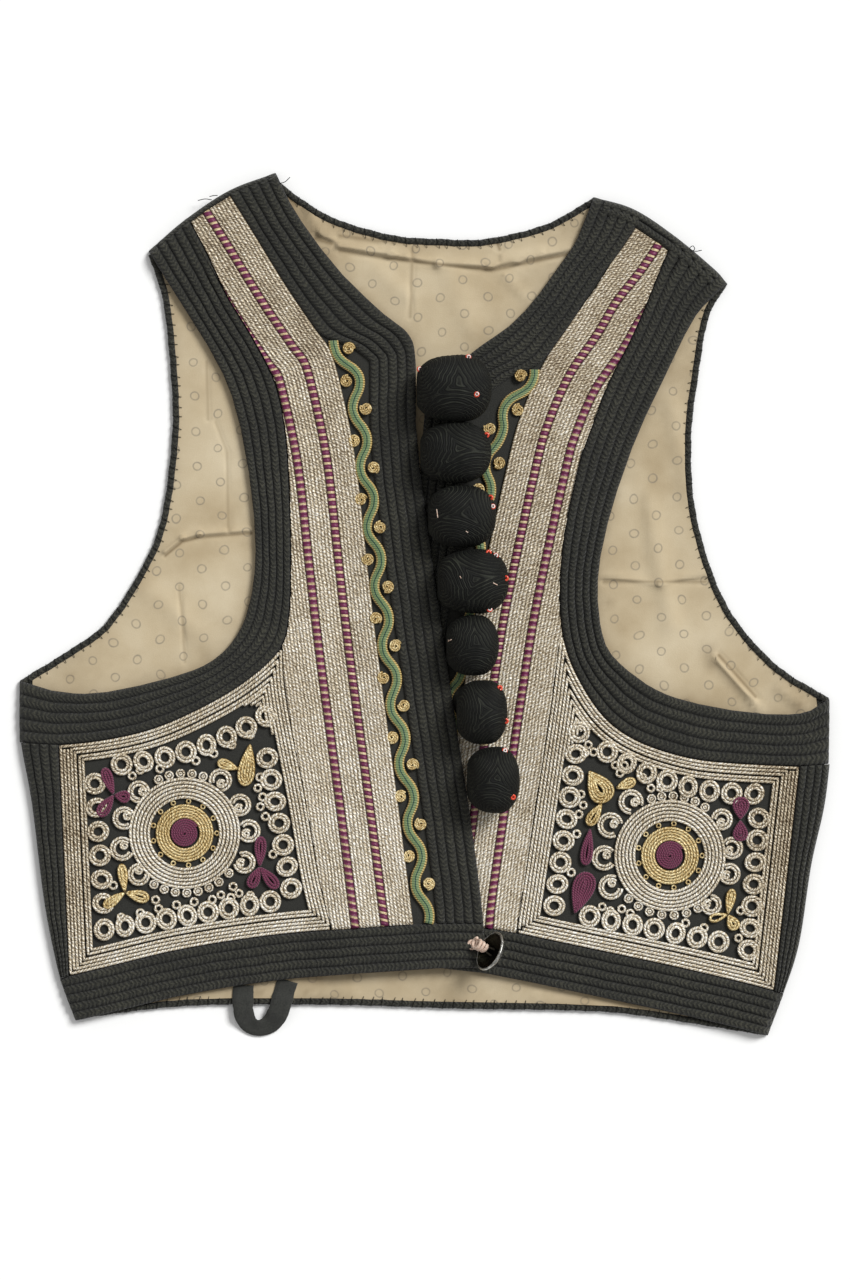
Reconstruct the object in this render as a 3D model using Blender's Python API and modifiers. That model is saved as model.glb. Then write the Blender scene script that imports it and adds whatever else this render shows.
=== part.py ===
# Embroidered folk vest, laid flat face up with the left front over the right.
# Left and right are as the viewer sees them. X is across, Y is up towards the neck, Z is up
# from the table, and the origin is under the middle of the laid garment.
# Tables give places in millimetres; everything is built in metres.

import bpy
import bmesh
from bisect import bisect_right
from math import cos, pi, sin, sqrt
from mathutils import Matrix, Vector

mm = 0.001

# Cloth, and the room between the layers
backThick = 1.4 * mm
liningBase = 1.7 * mm
liningThick = 0.8 * mm
creaseHigh = 0.5 * mm
creaseWide = 4.0 * mm
frontBase = 3.4 * mm          # underside of a front where it lies on the lining
frontThick = 1.4 * mm
layGap = 0.4 * mm             # between a front and what is sewn on it
seamGap = 0.4 * mm            # between pieces side by side

# Closed edges at the sides and shoulders, where front and back meet
sideTurn = 2.9 * mm           # how far the side braid reaches past the front's own edge
backInset = 1.0 * mm          # how far inside the front's edge the back panel ends
liningInset = 4.0 * mm        # and its lining

# Braids and cords
woolHigh = 1.9 * mm
woolGroove = 0.7 * mm         # depth of the groove between two braids
bandCords = 5                 # braids side by side at the neck, the front edge, armhole and hem
sideCords = 3
hemWide = 24.0 * mm
leftEdgeWide = 24.5 * mm
rightEdgeWide = 22.5 * mm
silverHigh = 1.3 * mm
silverCrown = 0.3 * mm
silverWide = 44.0 * mm        # widest, at the hem
twistWide = 4.3 * mm
twistHigh = 1.9 * mm
firstTwist = 15.2 * mm        # centre of each twisted cord, from the silver band's inner edge
secondTwist = 31.0 * mm
greenWide = 4.4 * mm
greenHigh = 1.8 * mm
waveLong = 32.0 * mm
waveSwing = 2.5 * mm
edgeCord = 3.0 * mm           # round cord at the edges of the back
cordShort = 9.0 * mm          # each ends this far before the corner, under the front

# Medallion panels
frameHigh = 1.5 * mm
frameCords = 3
frameTop = 9.5 * mm           # width of the cord frame along the armhole
frameSide = 11.5 * mm         # towards the garment's side
frameFoot = 9.0 * mm          # along the hem
frameInner = 2.5 * mm         # beside the silver band
lattice = 1.2 * mm            # thickness of the openwork ground
eyeletBore = 5.2 * mm
scallopReach = 36.8 * mm
scallopDip = 2.6 * mm
scallops = 14
rosetteReach = 29.2 * mm
panelClear = 0.4 * mm         # more room round the cord frame, whose outline has few points
leafHigh = 0.9 * mm
leafPoints = 24

# The overlap: the left front climbs over the right front's edge
lapRise = frontThick + woolHigh + 2 * layGap
lapNear = 4.0 * mm            # the climb ends this far outside the edge below
lapFar = 34.0 * mm            # and starts this far outside it
lapTop = Vector((-2.5 * mm, 67.5 * mm))       # two points of the right front's edge, which is straight there
lapFoot = Vector((-32.5 * mm, -185.5 * mm))
lapFull = 100.0 * mm          # the lap rises fully below this height up the garment
lapNone = 165.0 * mm          # and not at all above this one

# Fastenings
ballSides = 12
ballFlat = 0.84               # height of a ball, as a share of its width
ballWidest = 0.56             # where a ball is widest, as a share of its length from the neck
neckShare = 0.16              # width of the neck, as a share of the ball's
neckLift = 3.4 * mm           # middle of the neck above the cloth that the ball rests on
metalAcross = 22.0 * mm
metalDeep = 5.0 * mm
rimThick = 0.6 * mm
shankWide = 3.0 * mm
tapeWide = 10.0 * mm
tapeThick = 1.1 * mm
loopAcross = 21.5 * mm        # between the middles of the tape's two legs
legBend = 4.0 * mm            # the legs run straight to this far above the middle of the turn
loopFall = 12.0 * mm          # and the tape comes down to the table over this length

step = 6.0 * mm               # spacing of the points along an edge
slopeStep = 4.0 * mm          # and across a braid that lies on a slope
flatness = 0.22 * mm          # a section nearer than this to a straight run between others is left out


def table(rows):
    """Rows of numbers in millimetres, one row to a line, as rows in metres."""
    return [tuple(float(word) * mm for word in row.split()) for row in rows.strip().splitlines()]


def points(rows, column=0):
    """Two neighbouring columns of a table as plan points."""
    return [Vector((row[column], row[column + 1])) for row in rows]


# Edges of the left front. Columns: across, up
leftShoulder = points(table("""
    -80   232
    -105  222.5
    -129  206.5
    -148  190"""))
leftFrontEdge = points(table("""
    -80   232
    -68.5 209.5
    -47   180.5
    -23   157
    -9    145.5
    -5    131
    -4.5  91
    3     30
    14    -46.5
    24    -111.5
    30    -157.5
    33    -193.5"""))
leftArmEdge = points(table("""
    -148  190
    -136.5 171.5
    -116  139
    -103.5 113
    -95.5 79.5
    -91   42.5
    -91.5 14
    -97.5 -10
    -110  -26.5
    -130  -36.5
    -170  -46
    -195.5 -46
    -217  -40"""))
leftArmInner = points(table("""
    -133  219
    -118  191
    -106  166
    -91   141
    -80   118
    -74.5 89
    -72.5 54
    -72   25
    -73   -6
    -78   -23
    -94   -38.5
    -115.5 -52
    -143  -64.5
    -169  -71
    -196  -74
    -217  -73"""))
leftSideEdge = points(table("""
    -217  -40
    -217  -68.5
    -210.5 -106
    -203.5 -161
    -194.5 -203
    -187  -222"""))
leftHemEdge = points(table("""
    -187  -222
    -160  -215.5
    -126  -207.5
    -82   -200.5
    -38.5 -196.5
    8     -193.5
    33    -193.5"""))

# Edges of the right front; below the neck its front edge is under the left front
rightShoulder = points(table("""
    90.5  219
    112   212.5
    134   198
    155.5 180
    162   172.5"""))
rightFrontEdge = points(table("""
    90.5  219
    81    195.5
    71    180.5
    58    163
    45.5  150
    28.5  138
    8     121
    0.5   107.5
    -2.5  67.5
    -7    24.5
    -13.5 -29
    -21.5 -93.5
    -32.5 -185.5"""))
rightArmEdge = points(table("""
    162   172.5
    152   163.5
    142.5 151.5
    127.5 121
    112   87.5
    98.5  47
    92.5  14
    95    -15.5
    104.5 -31
    129.5 -47.5
    169   -56.5
    201   -57.5
    216.5 -49.5"""))
rightArmInner = points(table("""
    138   209
    120.5 166
    111   144
    98.5  119
    90    97
    83    77
    77    50
    73.5  27
    72.5  4
    74    -15
    79    -32
    89.5  -51
    101   -64
    117   -73.5
    139   -80.5
    160.5 -83.5
    200.5 -85.5
    216   -84.5"""))
rightSideEdge = points(table("""
    216.5 -49.5
    218   -66.5
    214.5 -104
    207   -138.5
    200.5 -180.5
    192   -207.5
    183.5 -230"""))
rightHemEdge = points(table("""
    183.5 -230
    162.5 -224.5
    126   -216
    76.5  -205.5
    35.5  -197
    8     -193.5
    -32.5 -185.5"""))

# Edges of the back
backNeck = points(table("""
    -80   229.5
    -72.5 222.5
    -49.5 208
    -17.5 198.5
    8     196.5
    32.5  196.5
    64    204
    86    216
    90.5  219"""))
backLeftArm = points(table("""
    -148  188
    -140  162.5
    -135.5 117
    -135.5 89
    -140.5 50
    -149.5 24.5
    -170  -8
    -189.5 -23
    -217  -40"""))
backRightArm = points(table("""
    162   172.5
    152   155
    146.5 124.5
    142.5 89
    145.5 47
    161   1.5
    187   -30.5
    216.5 -49.5"""))
backHem = points(table("""
    -187  -221
    -126  -214
    -49.5 -213.5
    16    -215.5
    76.5  -216.5
    113.5 -219
    183.5 -230"""))

# Inner edge of each silver band, from the shoulder to the hem. Columns: across, up
leftSilver = points(table("""
    -108.5 226
    -92.5  200.5
    -75    172
    -59.5  149
    -50.5  136
    -44    113
    -37    77
    -30.5  19
    -25    -27
    -14.5  -105
    -6.5   -168"""))
rightSilver = points(table("""
    119    212
    104    189.5
    90     171.5
    79     153
    64     131
    52     104
    45     80
    29.5   8.5
    21.5   -39.5
    6.5    -141.5
    3      -173"""))

# Inner edge of the side braid, and the edge of the medallion panel beside the silver band
leftSideInner = points(table("""
    -196.5 -66
    -190.5 -200"""))
rightSideInner = points(table("""
    201.5 -78
    186.5 -210"""))
leftPanelEdge = points(table("""
    -76   -10
    -75   -45
    -64   -104
    -56.5 -147
    -48   -180"""))
rightPanelEdge = points(table("""
    73    -10
    68    -50.5
    61.5  -93.5
    55    -136
    48    -182"""))
leftCentre = Vector((-128.5 * mm, -121.5 * mm))
rightCentre = Vector((131 * mm, -133.5 * mm))

# Rows of eyelets. Columns: first across, up, last across, up, bow out of line
leftEyelets = table("""
    -162.5 -88    -91    -65.5  -3.5
    -85.5  -69    -71    -151    0
    -79    -158   -166   -172    0
    -176.5 -97    -172   -160    0""")
rightEyelets = table("""
    84     -76    72     -157    0
    98.5   -83    174    -99     3
    177.5  -111   173.5  -173    0
    80     -167   158    -181    0""")
leftEyeletCounts = (8, 8, 9, 6)
rightEyeletCounts = (8, 8, 6, 8)

# Creases pressed into the lining, each along one direction. Columns: across, up, at each end
creases = table("""
    -6.5  196  -6.5  140
    -44   191   76   191
    -110  112  -110  20
    -138  36    -92   36
    94    16   150   16""")

# Ball buttons, down the left front's edge. Columns: up, length, width
balls = table("""
    115.5 40   35
    81.5  38   30
    47.5  36   30
    13    38   32
    -21   28   29
    -56.5 27   32
    -92.5 28   33""")
metalCentre = Vector((34.5 * mm, -183 * mm))
metalTurn = 2.63              # way that the button's back faces, as an angle from +X
metalTilt = 1.05              # tilt of the button's back from straight up
shankFoot = Vector((26.5 * mm, -179.5 * mm))
loopCentre = Vector((-86 * mm, -216.3 * mm))


def smooth(line, count=None, spacing=step):
    """A soft curve through the given plan points, cut into even lengths."""
    fine = []
    for i in range(len(line) - 1):
        before = line[i - 1] if i else 2 * line[0] - line[1]
        after = line[i + 2] if i + 2 < len(line) else 2 * line[-1] - line[-2]
        a, b = line[i], line[i + 1]
        for k in range(8):
            t = k / 8
            fine.append(0.5 * (2 * a + (b - before) * t + (2 * before - 5 * a + 4 * b - after) * t * t
                               + (3 * a - before - 3 * b + after) * t ** 3))
    fine.append(line[-1].copy())
    return even(fine, count, spacing)


def even(line, count=None, spacing=step):
    """Points at even lengths along a line."""
    total = [0.0]
    for a, b in zip(line, line[1:]):
        total.append(total[-1] + (b - a).length)
    count = count or max(3, round(total[-1] / spacing) + 1)
    spread = []
    for k in range(count):
        goal = total[-1] * k / (count - 1)
        i = min(max(bisect_right(total, goal) - 1, 0), len(line) - 2)
        spread.append(line[i].lerp(line[i + 1], (goal - total[i]) / (total[i + 1] - total[i])))
    return spread


def offset(line, distance, soften=0):
    """The line moved to its right, looking along it."""
    moved = []
    for i, point in enumerate(line):
        way = (line[min(i + 1, len(line) - 1)] - line[max(i - 1, 0)]).normalized()
        moved.append(point + Vector((way.y, -way.x)) * distance)
    for again in range(soften):
        moved = [moved[0]] + [(a + 2 * b + c) / 4 for a, b, c in zip(moved, moved[1:], moved[2:])] + [moved[-1]]
    return moved


def crossing(lineA, lineB):
    """Where two lines meet, or where they would if they ran on a little."""
    best = None
    for a, b in zip(lineA, lineA[1:]):
        for c, d in zip(lineB, lineB[1:]):
            one, two = b - a, d - c
            turn = one.x * two.y - one.y * two.x
            if abs(turn) < 1e-12:
                continue
            t = ((c - a).x * two.y - (c - a).y * two.x) / turn
            u = ((c - a).x * one.y - (c - a).y * one.x) / turn
            miss = max(-t, t - 1, 0) * one.length + max(-u, u - 1, 0) * two.length
            if best is None or miss < best[0]:
                best = (miss, a + one * t)
    return best[1]


def placeOn(line, point):
    """How far along a line its nearest place to a point is, in segments, and which side the point is."""
    best = (1.0, 0.0, 0.0)
    for i, (a, b) in enumerate(zip(line, line[1:])):
        way = b - a
        t = min(max((point - a).dot(way) / way.length_squared, 0.0), 1.0)
        off = point - a - way * t
        best = min(best, (off.length, i + t, way.x * (point - a).y - way.y * (point - a).x))
    return best


def between(line, start, end):
    """The part of a line between two points on it, with both."""
    first, last = placeOn(line, start)[1], placeOn(line, end)[1]
    return [start] + [p for i, p in enumerate(line) if first + 0.3 < i < last - 0.3] + [end]


def cut(line, before=None, after=None):
    """The part of a line between the lines that cross it."""
    start = crossing(line, before) if before else line[0]
    end = crossing(line, after) if after else line[-1]
    return between(line, start, end)


def outlineOf(lines):
    """Lines that cross in turn, as one closed outline."""
    corners = [crossing(lines[i - 1], line) for i, line in enumerate(lines)]
    outline = []
    for i, line in enumerate(lines):
        run = between(line, corners[i], corners[(i + 1) % len(lines)])
        outline += [point for point, in thin([[point] for point in run])[:-1]]
    return outline


def inside(outline, point):
    """Whether a plan point is within a closed outline."""
    odd = False
    for a, b in zip(outline, outline[1:] + outline[:1]):
        if (a.y > point.y) != (b.y > point.y):
            if point.x < a.x + (b.x - a.x) * (point.y - a.y) / (b.y - a.y):
                odd = not odd
    return odd


def ease(t):
    t = min(max(t, 0.0), 1.0)
    return t * t * (3 - 2 * t)


class Front:
    """The plan and the heights of one front. turn is 1 where its cloth is on the right of its front edge."""

    def __init__(self, turn, edges, edgeWide, laps=False):
        self.turn = turn
        self.laps = laps
        (self.shoulder, self.frontEdge, self.armEdge, self.armIn, self.sideEdge, self.sideIn,
         self.hemEdge, self.silver, self.panelEdge) = (smooth(line) for line in edges)
        self.ownSide = offset(self.sideEdge, -turn * sideTurn)
        self.outline = outlineOf([self.frontEdge, self.hemEdge[::-1], self.ownSide[::-1],
                                  self.armEdge[::-1], self.shoulder[::-1]])
        self.edgeIn = offset(self.frontEdge, turn * edgeWide, 6)
        self.edgeRegion = self.frontEdge + offset(self.edgeIn, turn * seamGap)[::-1]
        self.armClear = offset(self.armIn, -turn * seamGap)
        self.armRegion = self.armEdge + self.armClear[::-1]
        self.hemIn = offset(self.hemEdge, -turn * hemWide)
        self.hemClear = offset(self.hemIn, -turn * seamGap)

    def medallion(self, top, side, foot, inner):
        """Four sides of the medallion panel, each moved in by its own width, as lines of equal counts."""
        lines = [offset(self.armClear, -self.turn * (top + panelClear)),
                 offset(self.panelEdge, self.turn * (inner + panelClear)),
                 offset(self.hemClear, -self.turn * (foot + panelClear)),
                 offset(self.sideIn, -self.turn * (side + seamGap + panelClear))]
        lines[0] = lines[0][::-1]
        lines[2] = lines[2][::-1]
        lines[3] = lines[3][::-1]
        corners = [crossing(lines[i - 1], lines[i]) for i in range(4)]
        outline = []
        for i, count in enumerate((12, 6, 7, 8)):
            outline += even(between(lines[i], corners[i], corners[(i + 1) % 4]), count)[:-1]
        return outline

    def lift(self, point):
        """How far the front below raises this one."""
        if not self.laps:
            return 0.0
        along = (lapFoot - lapTop).normalized()
        within = (point - lapTop).dot(Vector((-along.y, along.x)))
        climb = ease((within + lapFar) / (lapFar - lapNear))
        return lapRise * climb * ease((lapNone - point.y) / (lapNone - lapFull))

    def top(self, point):
        """Height of the outer face of the cloth."""
        return frontBase + frontThick + self.lift(point)

    def bottom(self, point):
        return frontBase + self.lift(point)


def paint(name, colour, roughness, metallic=0.0):
    material = bpy.data.materials.new(name)
    material.use_nodes = True
    shader = material.node_tree.nodes["Principled BSDF"]
    shader.inputs["Base Color"].default_value = (*colour, 1)
    shader.inputs["Roughness"].default_value = roughness
    shader.inputs["Metallic"].default_value = metallic
    return material


def keep(name, bm, material):
    """Makes the finished faces one named object in the vest's collection."""
    bmesh.ops.recalc_face_normals(bm, faces=bm.faces[:])
    mesh = bpy.data.meshes.new(name)
    bm.to_mesh(mesh)
    bm.free()
    return keepMesh(name, mesh, material)


def keepMesh(name, mesh, material):
    mesh.shade_smooth()
    mesh.set_sharp_from_angle(angle=0.7)
    thing = bpy.data.objects.new(name, mesh)
    thing.data.materials.append(material)
    vest.objects.link(thing)
    return thing


def thin(sections):
    """Leaves out the sections that a straight run between their neighbours already passes through."""
    kept = [0]
    while kept[-1] < len(sections) - 1:
        start = kept[-1]
        end = start + 1
        while end + 1 < len(sections) and straight(sections[start:end + 2]):
            end += 1
        kept.append(end)
    return [sections[i] for i in kept]


def straight(run):
    """Whether the sections between the first and the last lie on straight lines between them."""
    for section in run[1:-1]:
        for a, p, b in zip(run[0], section, run[-1]):
            a, p, b = (Vector((q[0], q[1], 2 * q[2] if len(q) > 2 else 0)) for q in (a, p, b))
            way = b - a
            if (p - a - way * ((p - a).dot(way) / way.length_squared)).length > flatness:
                return False
    return True


def sweep(name, sections, material, closed=False):
    """A solid through sections that all have the same number of points."""
    if not closed:
        sections = thin(sections)
    bm = bmesh.new()
    rings = [[bm.verts.new(point) for point in section] for section in sections]
    if closed:
        rings.append(rings[0])
    for one, two in zip(rings, rings[1:]):
        for i in range(len(one)):
            j = (i + 1) % len(one)
            bm.faces.new((one[i], one[j], two[j], two[i]))
    if not closed:
        bm.faces.new(rings[0][::-1])
        bm.faces.new(rings[-1])
    return keep(name, bm, material)


def strip(name, lineA, lineB, profile, ground, material, closed=False):
    """Braid between two lines. The profile gives its height at shares of the way across."""
    heights = [ground(p) for p in lineA + lineB]
    under = 2
    if max(heights) - min(heights) > flatness:
        under += round((lineA[0] - lineB[0]).length / slopeStep)
    sections = []
    for a, b in zip(lineA, lineB):
        over = [a.lerp(b, share) for share, high in profile]
        section = [(*p, ground(p) + layGap + high) for p, (share, high) in zip(over, profile)]
        for i in range(under)[::-1]:
            p = a.lerp(b, i / (under - 1))
            section.append((*p, ground(p) + layGap))
        sections.append(section)
    return sweep(name, sections, material, closed)


def ribs(count, high, groove):
    """Profile of cords side by side."""
    profile = [(0.0, high - groove)]
    for i in range(count):
        profile += [((i + 0.5) / count, high), ((i + 1) / count, high - groove)]
    return profile


def domed(high, rim, parts=2):
    """Profile of one rounded cord."""
    return [(i / parts, rim + (high - rim) * sin(pi * i / parts)) for i in range(parts + 1)]


def tube(name, line, wide, material, sides=6):
    """A round cord along points in space, level across."""
    sections = []
    for i, point in enumerate(line):
        way = (line[min(i + 1, len(line) - 1)] - line[max(i - 1, 0)]).normalized()
        out = way.cross(Vector((0, 0, 1))).normalized()
        up = out.cross(way)
        turns = [2 * pi * (k + 0.5) / sides for k in range(sides)]
        sections.append([point + (out * cos(turn) + up * sin(turn)) * wide / 2 for turn in turns])
    return sweep(name, sections, material)


def panel(name, outline, folds, top, bottom, material):
    """A cut piece of cloth: its outline filled, divided along each fold, then shaped to its heights."""
    bm = bmesh.new()
    bm.faces.new([bm.verts.new((*point, 0)) for point in outline])
    bm.normal_update()
    for place, across in folds:
        bmesh.ops.bisect_plane(bm, geom=bm.verts[:] + bm.edges[:] + bm.faces[:], plane_co=(*place, 0),
                               plane_no=(*across, 0), dist=0.01 * mm)
    bmesh.ops.triangulate(bm, faces=[f for f in bm.faces if len(f.verts) > 4])
    raised = bmesh.ops.extrude_face_region(bm, geom=bm.faces[:])
    upper = {v for v in raised["geom"] if isinstance(v, bmesh.types.BMVert)}
    for v in bm.verts:
        plan = Vector((v.co.x, v.co.y))
        v.co.z = top(plan) if v in upper else bottom(plan)
    return keep(name, bm, material)


def creaseAt(point):
    """Height that the pressed creases add to the lining."""
    high = 0.0
    for row in creases:
        far = placeOn([Vector(row[:2]), Vector(row[2:])], point)[0]
        high = max(high, creaseHigh * (1 - far / creaseWide))
    return high


def buildBack():
    """Back panel, its lining, and the cords round its edges."""
    neck, leftArm, rightArm, hem = (smooth(line) for line in (backNeck, backLeftArm, backRightArm, backHem))
    edgeIn = edgeCord + seamGap

    def cutTo(inset):
        return outlineOf([offset(neck, edgeIn), offset(right.shoulder, inset), offset(rightArm, edgeIn),
                          offset(right.sideEdge, sideTurn + inset), offset(hem[::-1], edgeIn),
                          offset(left.sideEdge[::-1], sideTurn + inset), offset(leftArm[::-1], edgeIn),
                          offset(left.shoulder[::-1], inset)])

    panel("back_panel", cutTo(backInset), [], lambda p: backThick, lambda p: 0.0, cloth)
    folds = []
    for row in creases:
        a, b = Vector(row[:2]), Vector(row[2:])
        way = (b - a).normalized()
        across = Vector((way.y, -way.x))
        folds += [(a + across * creaseWide * side, across) for side in (-1, 0, 1)]
    panel("back_lining", cutTo(liningInset), folds, lambda p: liningBase + liningThick + creaseAt(p),
          lambda p: liningBase, cotton)
    for name, line, inward in (("neck_cord", neck, 1), ("left_armhole_cord", leftArm, -1),
                               ("right_armhole_cord", rightArm, 1), ("hem_cord", hem, -1)):
        run = offset(even(line, spacing=2 * mm), inward * edgeCord / 2)
        ends = round(cordShort / (2 * mm))
        run = even(run[ends:-ends])
        tube(name, [Vector((*p, edgeCord / 2)) for p in run], edgeCord, wool)


def buildSilver(side, front):
    """The silver band in three strips, with the two twisted cords between them."""
    inner = front.silver
    panelRegion = front.panelEdge + offset(front.panelEdge, front.turn * silverWide)[::-1]
    ways = [(b - a).normalized() for a, b in zip(inner, offset(inner, front.turn * step, 3))]
    starts, ends = [], []
    for a, way in zip(inner, ways):
        near = 0.0
        while inside(front.edgeRegion, a + way * near):
            near += 0.2 * mm
        far = near
        while far < silverWide:
            ahead = a + way * (far + 1.5 * seamGap)
            if inside(front.armRegion, ahead) or inside(panelRegion, ahead):
                break
            far += 0.4 * mm
        starts.append(near)
        ends.append(far)

    def band(name, start, end, fewest, profile, material):
        rows = [i for i, far in enumerate(ends) if far > fewest]
        lineA = [inner[i] + ways[i] * max(start, starts[i]) for i in rows]
        lineB = [inner[i] + ways[i] * min(end, ends[i]) for i in rows]
        before = front.shoulder if rows[0] == 0 else None
        lineA = even(cut(lineA, before=before, after=front.hemClear))
        lineB = even(cut(lineB, before=before, after=front.hemClear), len(lineA))
        strip(name + "_" + side, lineA, lineB, profile, front.top, material)

    flat = [(0, silverHigh), (0.5, silverHigh + silverCrown), (1, silverHigh)]
    half = twistWide / 2 + seamGap
    narrowest = 2 * mm
    band("silver_inner", 0, firstTwist - half, 0, flat, silver)
    band("silver_middle", firstTwist + half, secondTwist - half, firstTwist + half + narrowest, flat, silver)
    band("silver_outer", secondTwist + half, silverWide, secondTwist + half + narrowest, flat, silver)
    cord = domed(twistHigh, twistHigh * 0.4)
    band("twist_inner", firstTwist - twistWide / 2, firstTwist + twistWide / 2, 0, cord, purple)
    band("twist_outer", secondTwist - twistWide / 2, secondTwist + twistWide / 2, secondTwist + half, cord,
         purple)


def buildGreen(side, front):
    """The wavy braid between the front edge's black braid and the silver band."""
    hemward = [p for p in even(front.silver, spacing=5 * mm)]
    middle = []
    for p in hemward:
        far = placeOn(front.edgeIn, p)
        i = min(int(far[1]), len(front.edgeIn) - 2)
        near = front.edgeIn[i].lerp(front.edgeIn[i + 1], far[1] - i)
        if far[0] > greenWide + 2 * waveSwing + 2 * seamGap:
            middle.append((p + near) / 2)
    middle = even(cut(middle, after=front.hemClear), spacing=waveLong / 6)[:-1]
    wave = []
    for i, p in enumerate(middle):
        way = (middle[min(i + 1, len(middle) - 1)] - middle[max(i - 1, 0)]).normalized()
        wave.append(p + Vector((way.y, -way.x)) * waveSwing * sin(2 * pi * i / 6) * front.turn)
    strip("green_braid_" + side, offset(wave, -greenWide / 2), offset(wave, greenWide / 2),
          domed(greenHigh, greenHigh * 0.5), front.top, green)


def eyeletPlaces(rows, counts):
    places = []
    for row, count in zip(rows, counts):
        a, b = Vector(row[:2]), Vector(row[2:4])
        way = (b - a).normalized()
        for i in range(count):
            t = i / (count - 1)
            places.append(a.lerp(b, t) + Vector((way.y, -way.x)) * row[4] * 4 * t * (1 - t))
    return places


def ring(centre, radius, count, start=0.0):
    return [centre + Vector((cos(start + 2 * pi * i / count), sin(start + 2 * pi * i / count))) * radius
            for i in range(count)]


def plate(name, outer, holes, thick, level, slope, material):
    """A flat openwork piece: a filled outline with holes, tipped to lie on the cloth."""
    flat = bpy.data.curves.new(name, "CURVE")
    flat.dimensions = "2D"
    flat.fill_mode = "BOTH"
    flat.extrude = thick / 2
    for loop in [outer] + holes:
        spline = flat.splines.new("POLY")
        spline.points.add(len(loop) - 1)
        for place, point in zip(spline.points, loop):
            place.co = (*point, 0, 1)
        spline.use_cyclic_u = True
    guide = bpy.data.objects.new(name + "_outline", flat)
    vest.objects.link(guide)
    mesh = bpy.data.meshes.new_from_object(guide.evaluated_get(bpy.context.evaluated_depsgraph_get()))
    bpy.data.objects.remove(guide)
    bm = bmesh.new()
    bm.from_mesh(mesh)
    bpy.data.meshes.remove(mesh)
    bmesh.ops.remove_doubles(bm, verts=bm.verts[:], dist=0.01 * mm)
    for v in bm.verts:
        v.co.z += level + thick / 2 + slope(Vector((v.co.x, v.co.y)))
    return keep(name, bm, material)


def turned(name, profile, centre, level, segments, material):
    """A round piece from half its section, turned about its middle."""
    mesh = bpy.data.meshes.new(name + "_section")
    mesh.from_pydata([(x, 0, z) for x, z in profile], [(i, i + 1) for i in range(len(profile) - 1)], [])
    thing = bpy.data.objects.new(name, mesh)
    thing.location = (*centre, level)
    thing.data.materials.append(material)
    vest.objects.link(thing)
    screw = thing.modifiers.new("turn", "SCREW")
    screw.steps = screw.render_steps = segments
    screw.use_merge_vertices = True
    screw.merge_threshold = 0.0001
    return thing


def buildMedallion(side, front, centre, eyelets, counts):
    """The square panel: cord frame, openwork ground, ring of scallops and rosette."""
    inner = front.medallion(frameTop, frameSide, frameFoot, frameInner)
    strip("medallion_frame_" + side, front.medallion(0, 0, 0, 0), inner,
          ribs(frameCords, frameHigh, frameHigh * 0.3), front.top, silver, closed=True)
    outer = front.medallion(frameTop + seamGap, frameSide + seamGap, frameFoot + seamGap,
                            frameInner + seamGap)
    level = front.top(centre) + layGap

    def slope(place):
        """The panel's inner side climbs a little with the overlap."""
        return front.top(place) - front.top(centre)

    holes = [ring(p, eyeletBore / 2, 6) for p in eyeletPlaces(eyelets, counts)]
    plate("openwork_" + side, outer, holes + [ring(centre, scallopReach + seamGap, 28)], lattice,
          level, slope, silver)
    wavy = []
    for i in range(2 * scallops):
        dip = scallopDip if i % 2 else 0
        wavy += ring(centre, scallopReach - dip, 1, pi * i / scallops)
    plate("scallops_" + side, wavy, [ring(centre, rosetteReach + seamGap, 28)], lattice, level,
          lambda place: 0.0, silver)
    high = lattice + 0.4 * mm
    low = high - 0.6 * mm
    shares = ((1, 0), (1, low), (0.94, high), (0.64, high), (0.6, low), (0.54, low), (0.5, high),
              (0.27, high), (0.24, low), (0, low))
    turned("rosette_" + side, [(rosetteReach * share, z) for share, z in shares[::-1]] + [(0, 0)], centre,
           level, 24, gold)
    for number, (x, y, long, turn, colour) in enumerate(leaves[side], 1):
        place = Vector((x, y)) * mm
        lobes = []
        for i in range(leafPoints):
            angle = 2 * pi * i / leafPoints
            reach = long * mm / 2 * (0.66 + 0.34 * cos(3 * angle))
            lobes += [place + Vector((cos(angle + turn), sin(angle + turn))) * reach]
        plate("leaf_%s_%d" % (side, number), lobes, [], leafHigh, level + lattice + seamGap, slope, colour)


def buildFront(side, front, centre, eyelets, counts, folds):
    """One front, with everything that is sewn on it."""
    panel("front_" + side, front.outline, folds, front.top, front.bottom, cloth)
    wool5 = ribs(bandCords, woolHigh, woolGroove)

    edgeA = even(cut(front.frontEdge, after=front.hemClear))
    edgeB = even(cut(front.edgeIn, before=front.shoulder, after=front.hemClear), len(edgeA))
    strip("edge_braid_" + side, edgeA, edgeB, wool5, front.top, wool)

    armA = even(cut(front.armEdge, after=front.ownSide))
    armB = even(cut(front.armIn, before=front.shoulder, after=front.ownSide), len(armA))
    strip("armhole_braid_" + side, armA, armB, wool5, front.top, wool)

    hemA = even(cut(front.hemEdge, before=front.ownSide))
    hemB = even(cut(front.hemIn, before=front.ownSide, after=front.frontEdge), len(hemA))
    strip("hem_braid_" + side, hemA, hemB, wool5, front.top, wool)

    buildSideBraid(side, front)
    buildSilver(side, front)
    buildGreen(side, front)
    buildMedallion(side, front, centre, eyelets, counts)


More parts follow.
